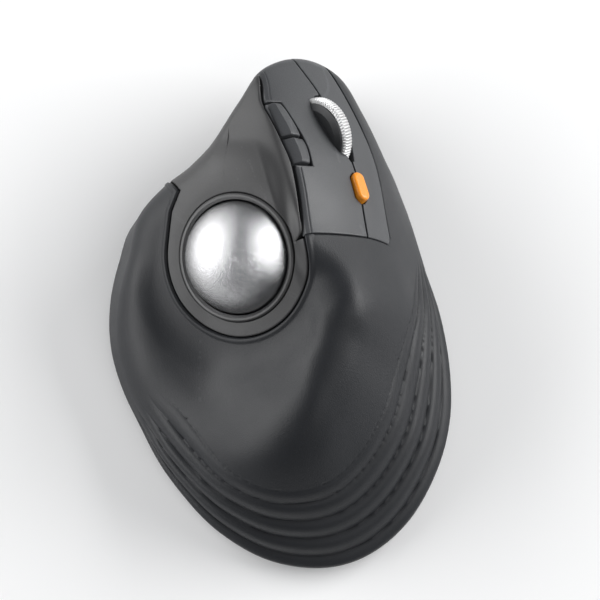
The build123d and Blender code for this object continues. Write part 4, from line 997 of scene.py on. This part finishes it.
FINISHES = {
    "soft_touch": dict(
        colour=(0.014, 0.0152, 0.018), roughness=0.46, bump=0.35, mottle=0.10, Specular_IOR_Level=0.36,
    ),
    "panel_plastic": dict(colour=(0.038, 0.038, 0.039), roughness=0.48, bump=0.15),
    "button_plastic": dict(colour=(0.052, 0.054, 0.058), roughness=0.44, bump=0.22),
    "ring_plastic": dict(colour=(0.046, 0.046, 0.047), roughness=0.34, bump=0.05),
    "ball_metal": dict(
        colour=(0.66, 0.66, 0.67), roughness=0.15, metallic=1.0, grain=3200.0, bump=1.0,
        mottle=0.15, wear=0.0, cavity=0.0,
    ),
    "dpi_orange": dict(colour=(0.90, 0.30, 0.02), roughness=0.30, bump=0.05, mottle=0.05),
    # The tread's grooves take near-black painted shade from its cavity setting of 0.95.
    "tread_metal": dict(
        colour=(0.62, 0.62, 0.62), roughness=0.30, metallic=0.6, bump=0.08, wear=0.1, cavity=0.95,
    ),
    "hub_rubber": dict(colour=(0.022, 0.023, 0.025), roughness=0.5, bump=0.2),
    "steel": dict(colour=(0.56, 0.56, 0.57), roughness=0.28, metallic=1.0, bump=0.1),
    "inner_plastic": dict(colour=(0.012, 0.012, 0.012), roughness=0.6, bump=0.2),
    "case_plastic": dict(colour=(0.030, 0.031, 0.033), roughness=0.52, bump=0.35),
    "foot_rubber": dict(colour=(0.012, 0.012, 0.013), roughness=0.72, bump=0.3),
    "board_green": dict(colour=(0.02, 0.14, 0.06), roughness=0.4, bump=0.2),
    "switch_plastic": dict(colour=(0.04, 0.04, 0.045), roughness=0.45, bump=0.1),
    "plunger_plastic": dict(colour=(0.65, 0.64, 0.6), roughness=0.4, bump=0.05),
    "chip_black": dict(colour=(0.018, 0.018, 0.02), roughness=0.5, bump=0.25),
    "lens_clear": dict(colour=(0.80, 0.82, 0.84), roughness=0.08, bump=0.02, mottle=0.02),
    "battery_wrap": dict(colour=(0.35, 0.37, 0.40), roughness=0.35, metallic=0.4, bump=0.15),
    "wire_jacket": dict(colour=(0.42, 0.03, 0.03), roughness=0.45, bump=0.05),
    "ribbon_film": dict(colour=(0.60, 0.34, 0.10), roughness=0.35, bump=0.05),
    "ceramic": dict(colour=(0.75, 0.75, 0.72), roughness=0.25, bump=0.05),
}
finishes = {slot: material(slot, **values) for slot, values in FINISHES.items()}


def dress(obj, slot):
    obj.data.materials.clear()
    obj.data.materials.append(finishes[slot])


for part in frame["record"]["subparts"]:
    dress(frame["nodes"][part["node"]], part["material_slot"])
for obj in list(bpy.context.scene.objects):
    if obj.type == "MESH" and "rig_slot" in obj:
        dress(obj, obj["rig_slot"])


# ---------------------------------------------------------------- floor, light and camera
floor_mesh = bpy.data.meshes.new("Floor")
FLOOR_HALF = 3.0
floor_corners = [(sx * FLOOR_HALF, sy * FLOOR_HALF, 0) for sx, sy in ((-1, -1), (1, -1), (1, 1), (-1, 1))]
floor_mesh.from_pydata(floor_corners, [], [(0, 1, 2, 3)])
floor = bpy.data.objects.new("Floor", floor_mesh)
bpy.context.scene.collection.objects.link(floor)
floor_mat = bpy.data.materials.new("Floor")
floor_mat.use_nodes = True
floor_shader = floor_mat.node_tree.nodes["Principled BSDF"]
floor_shader.inputs["Base Color"].default_value = (0.93, 0.93, 0.93, 1)
floor_shader.inputs["Roughness"].default_value = 0.9
floor_mesh.materials.append(floor_mat)


def soft_box(name, place, aim, width, height, watts, shape="RECTANGLE"):
    light = bpy.data.lights.new(name, "AREA")
    light.shape = shape
    light.size = width
    light.size_y = height
    light.energy = watts
    obj = bpy.data.objects.new(name, light)
    bpy.context.scene.collection.objects.link(obj)
    obj.location = place
    direction = Vector(aim) - Vector(place)
    obj.rotation_mode = "QUATERNION"
    obj.rotation_quaternion = direction.to_track_quat("-Z", "Y")
    return obj


LIGHT_AIM = (0, 0, 0.03)
soft_box("Left_Light", (-0.80, 0.42, 0.42), LIGHT_AIM, 1.5, 0.5, 12)
soft_box("Right_Light", (0.95, 0.05, 0.48), LIGHT_AIM, 1.0, 0.5, 13)
soft_box("Top_Light", (0.27, -0.50, 0.82), LIGHT_AIM, 0.7, 0.7, 1.3, "DISK")
world = bpy.data.worlds.new("World")
bpy.context.scene.world = world
world.use_nodes = True
world.node_tree.nodes["Background"].inputs["Color"].default_value = (0.95, 0.97, 1.0, 1)
world.node_tree.nodes["Background"].inputs["Strength"].default_value = 0.2
bpy.context.scene.view_settings.view_transform = "Standard"

camera_data = bpy.data.cameras.new("Camera")
camera = bpy.data.objects.new("Camera", camera_data)
bpy.context.scene.collection.objects.link(camera)
bpy.context.scene.camera = camera
azimuth = math.radians(-16)
elevation = math.radians(75)
CAMERA_DISTANCE = 0.52
aim = Vector((0.0086, 0.0035, 0.020))
back = Vector((
    math.sin(azimuth) * math.cos(elevation),
    -math.cos(azimuth) * math.cos(elevation),
    math.sin(elevation),
))
camera.location = aim + back * CAMERA_DISTANCE
camera.rotation_mode = "QUATERNION"
camera.rotation_quaternion = back.to_track_quat("Z", "Y")
camera_data.sensor_width = 36
camera_data.lens = 104.5
camera_data.clip_start = 0.01
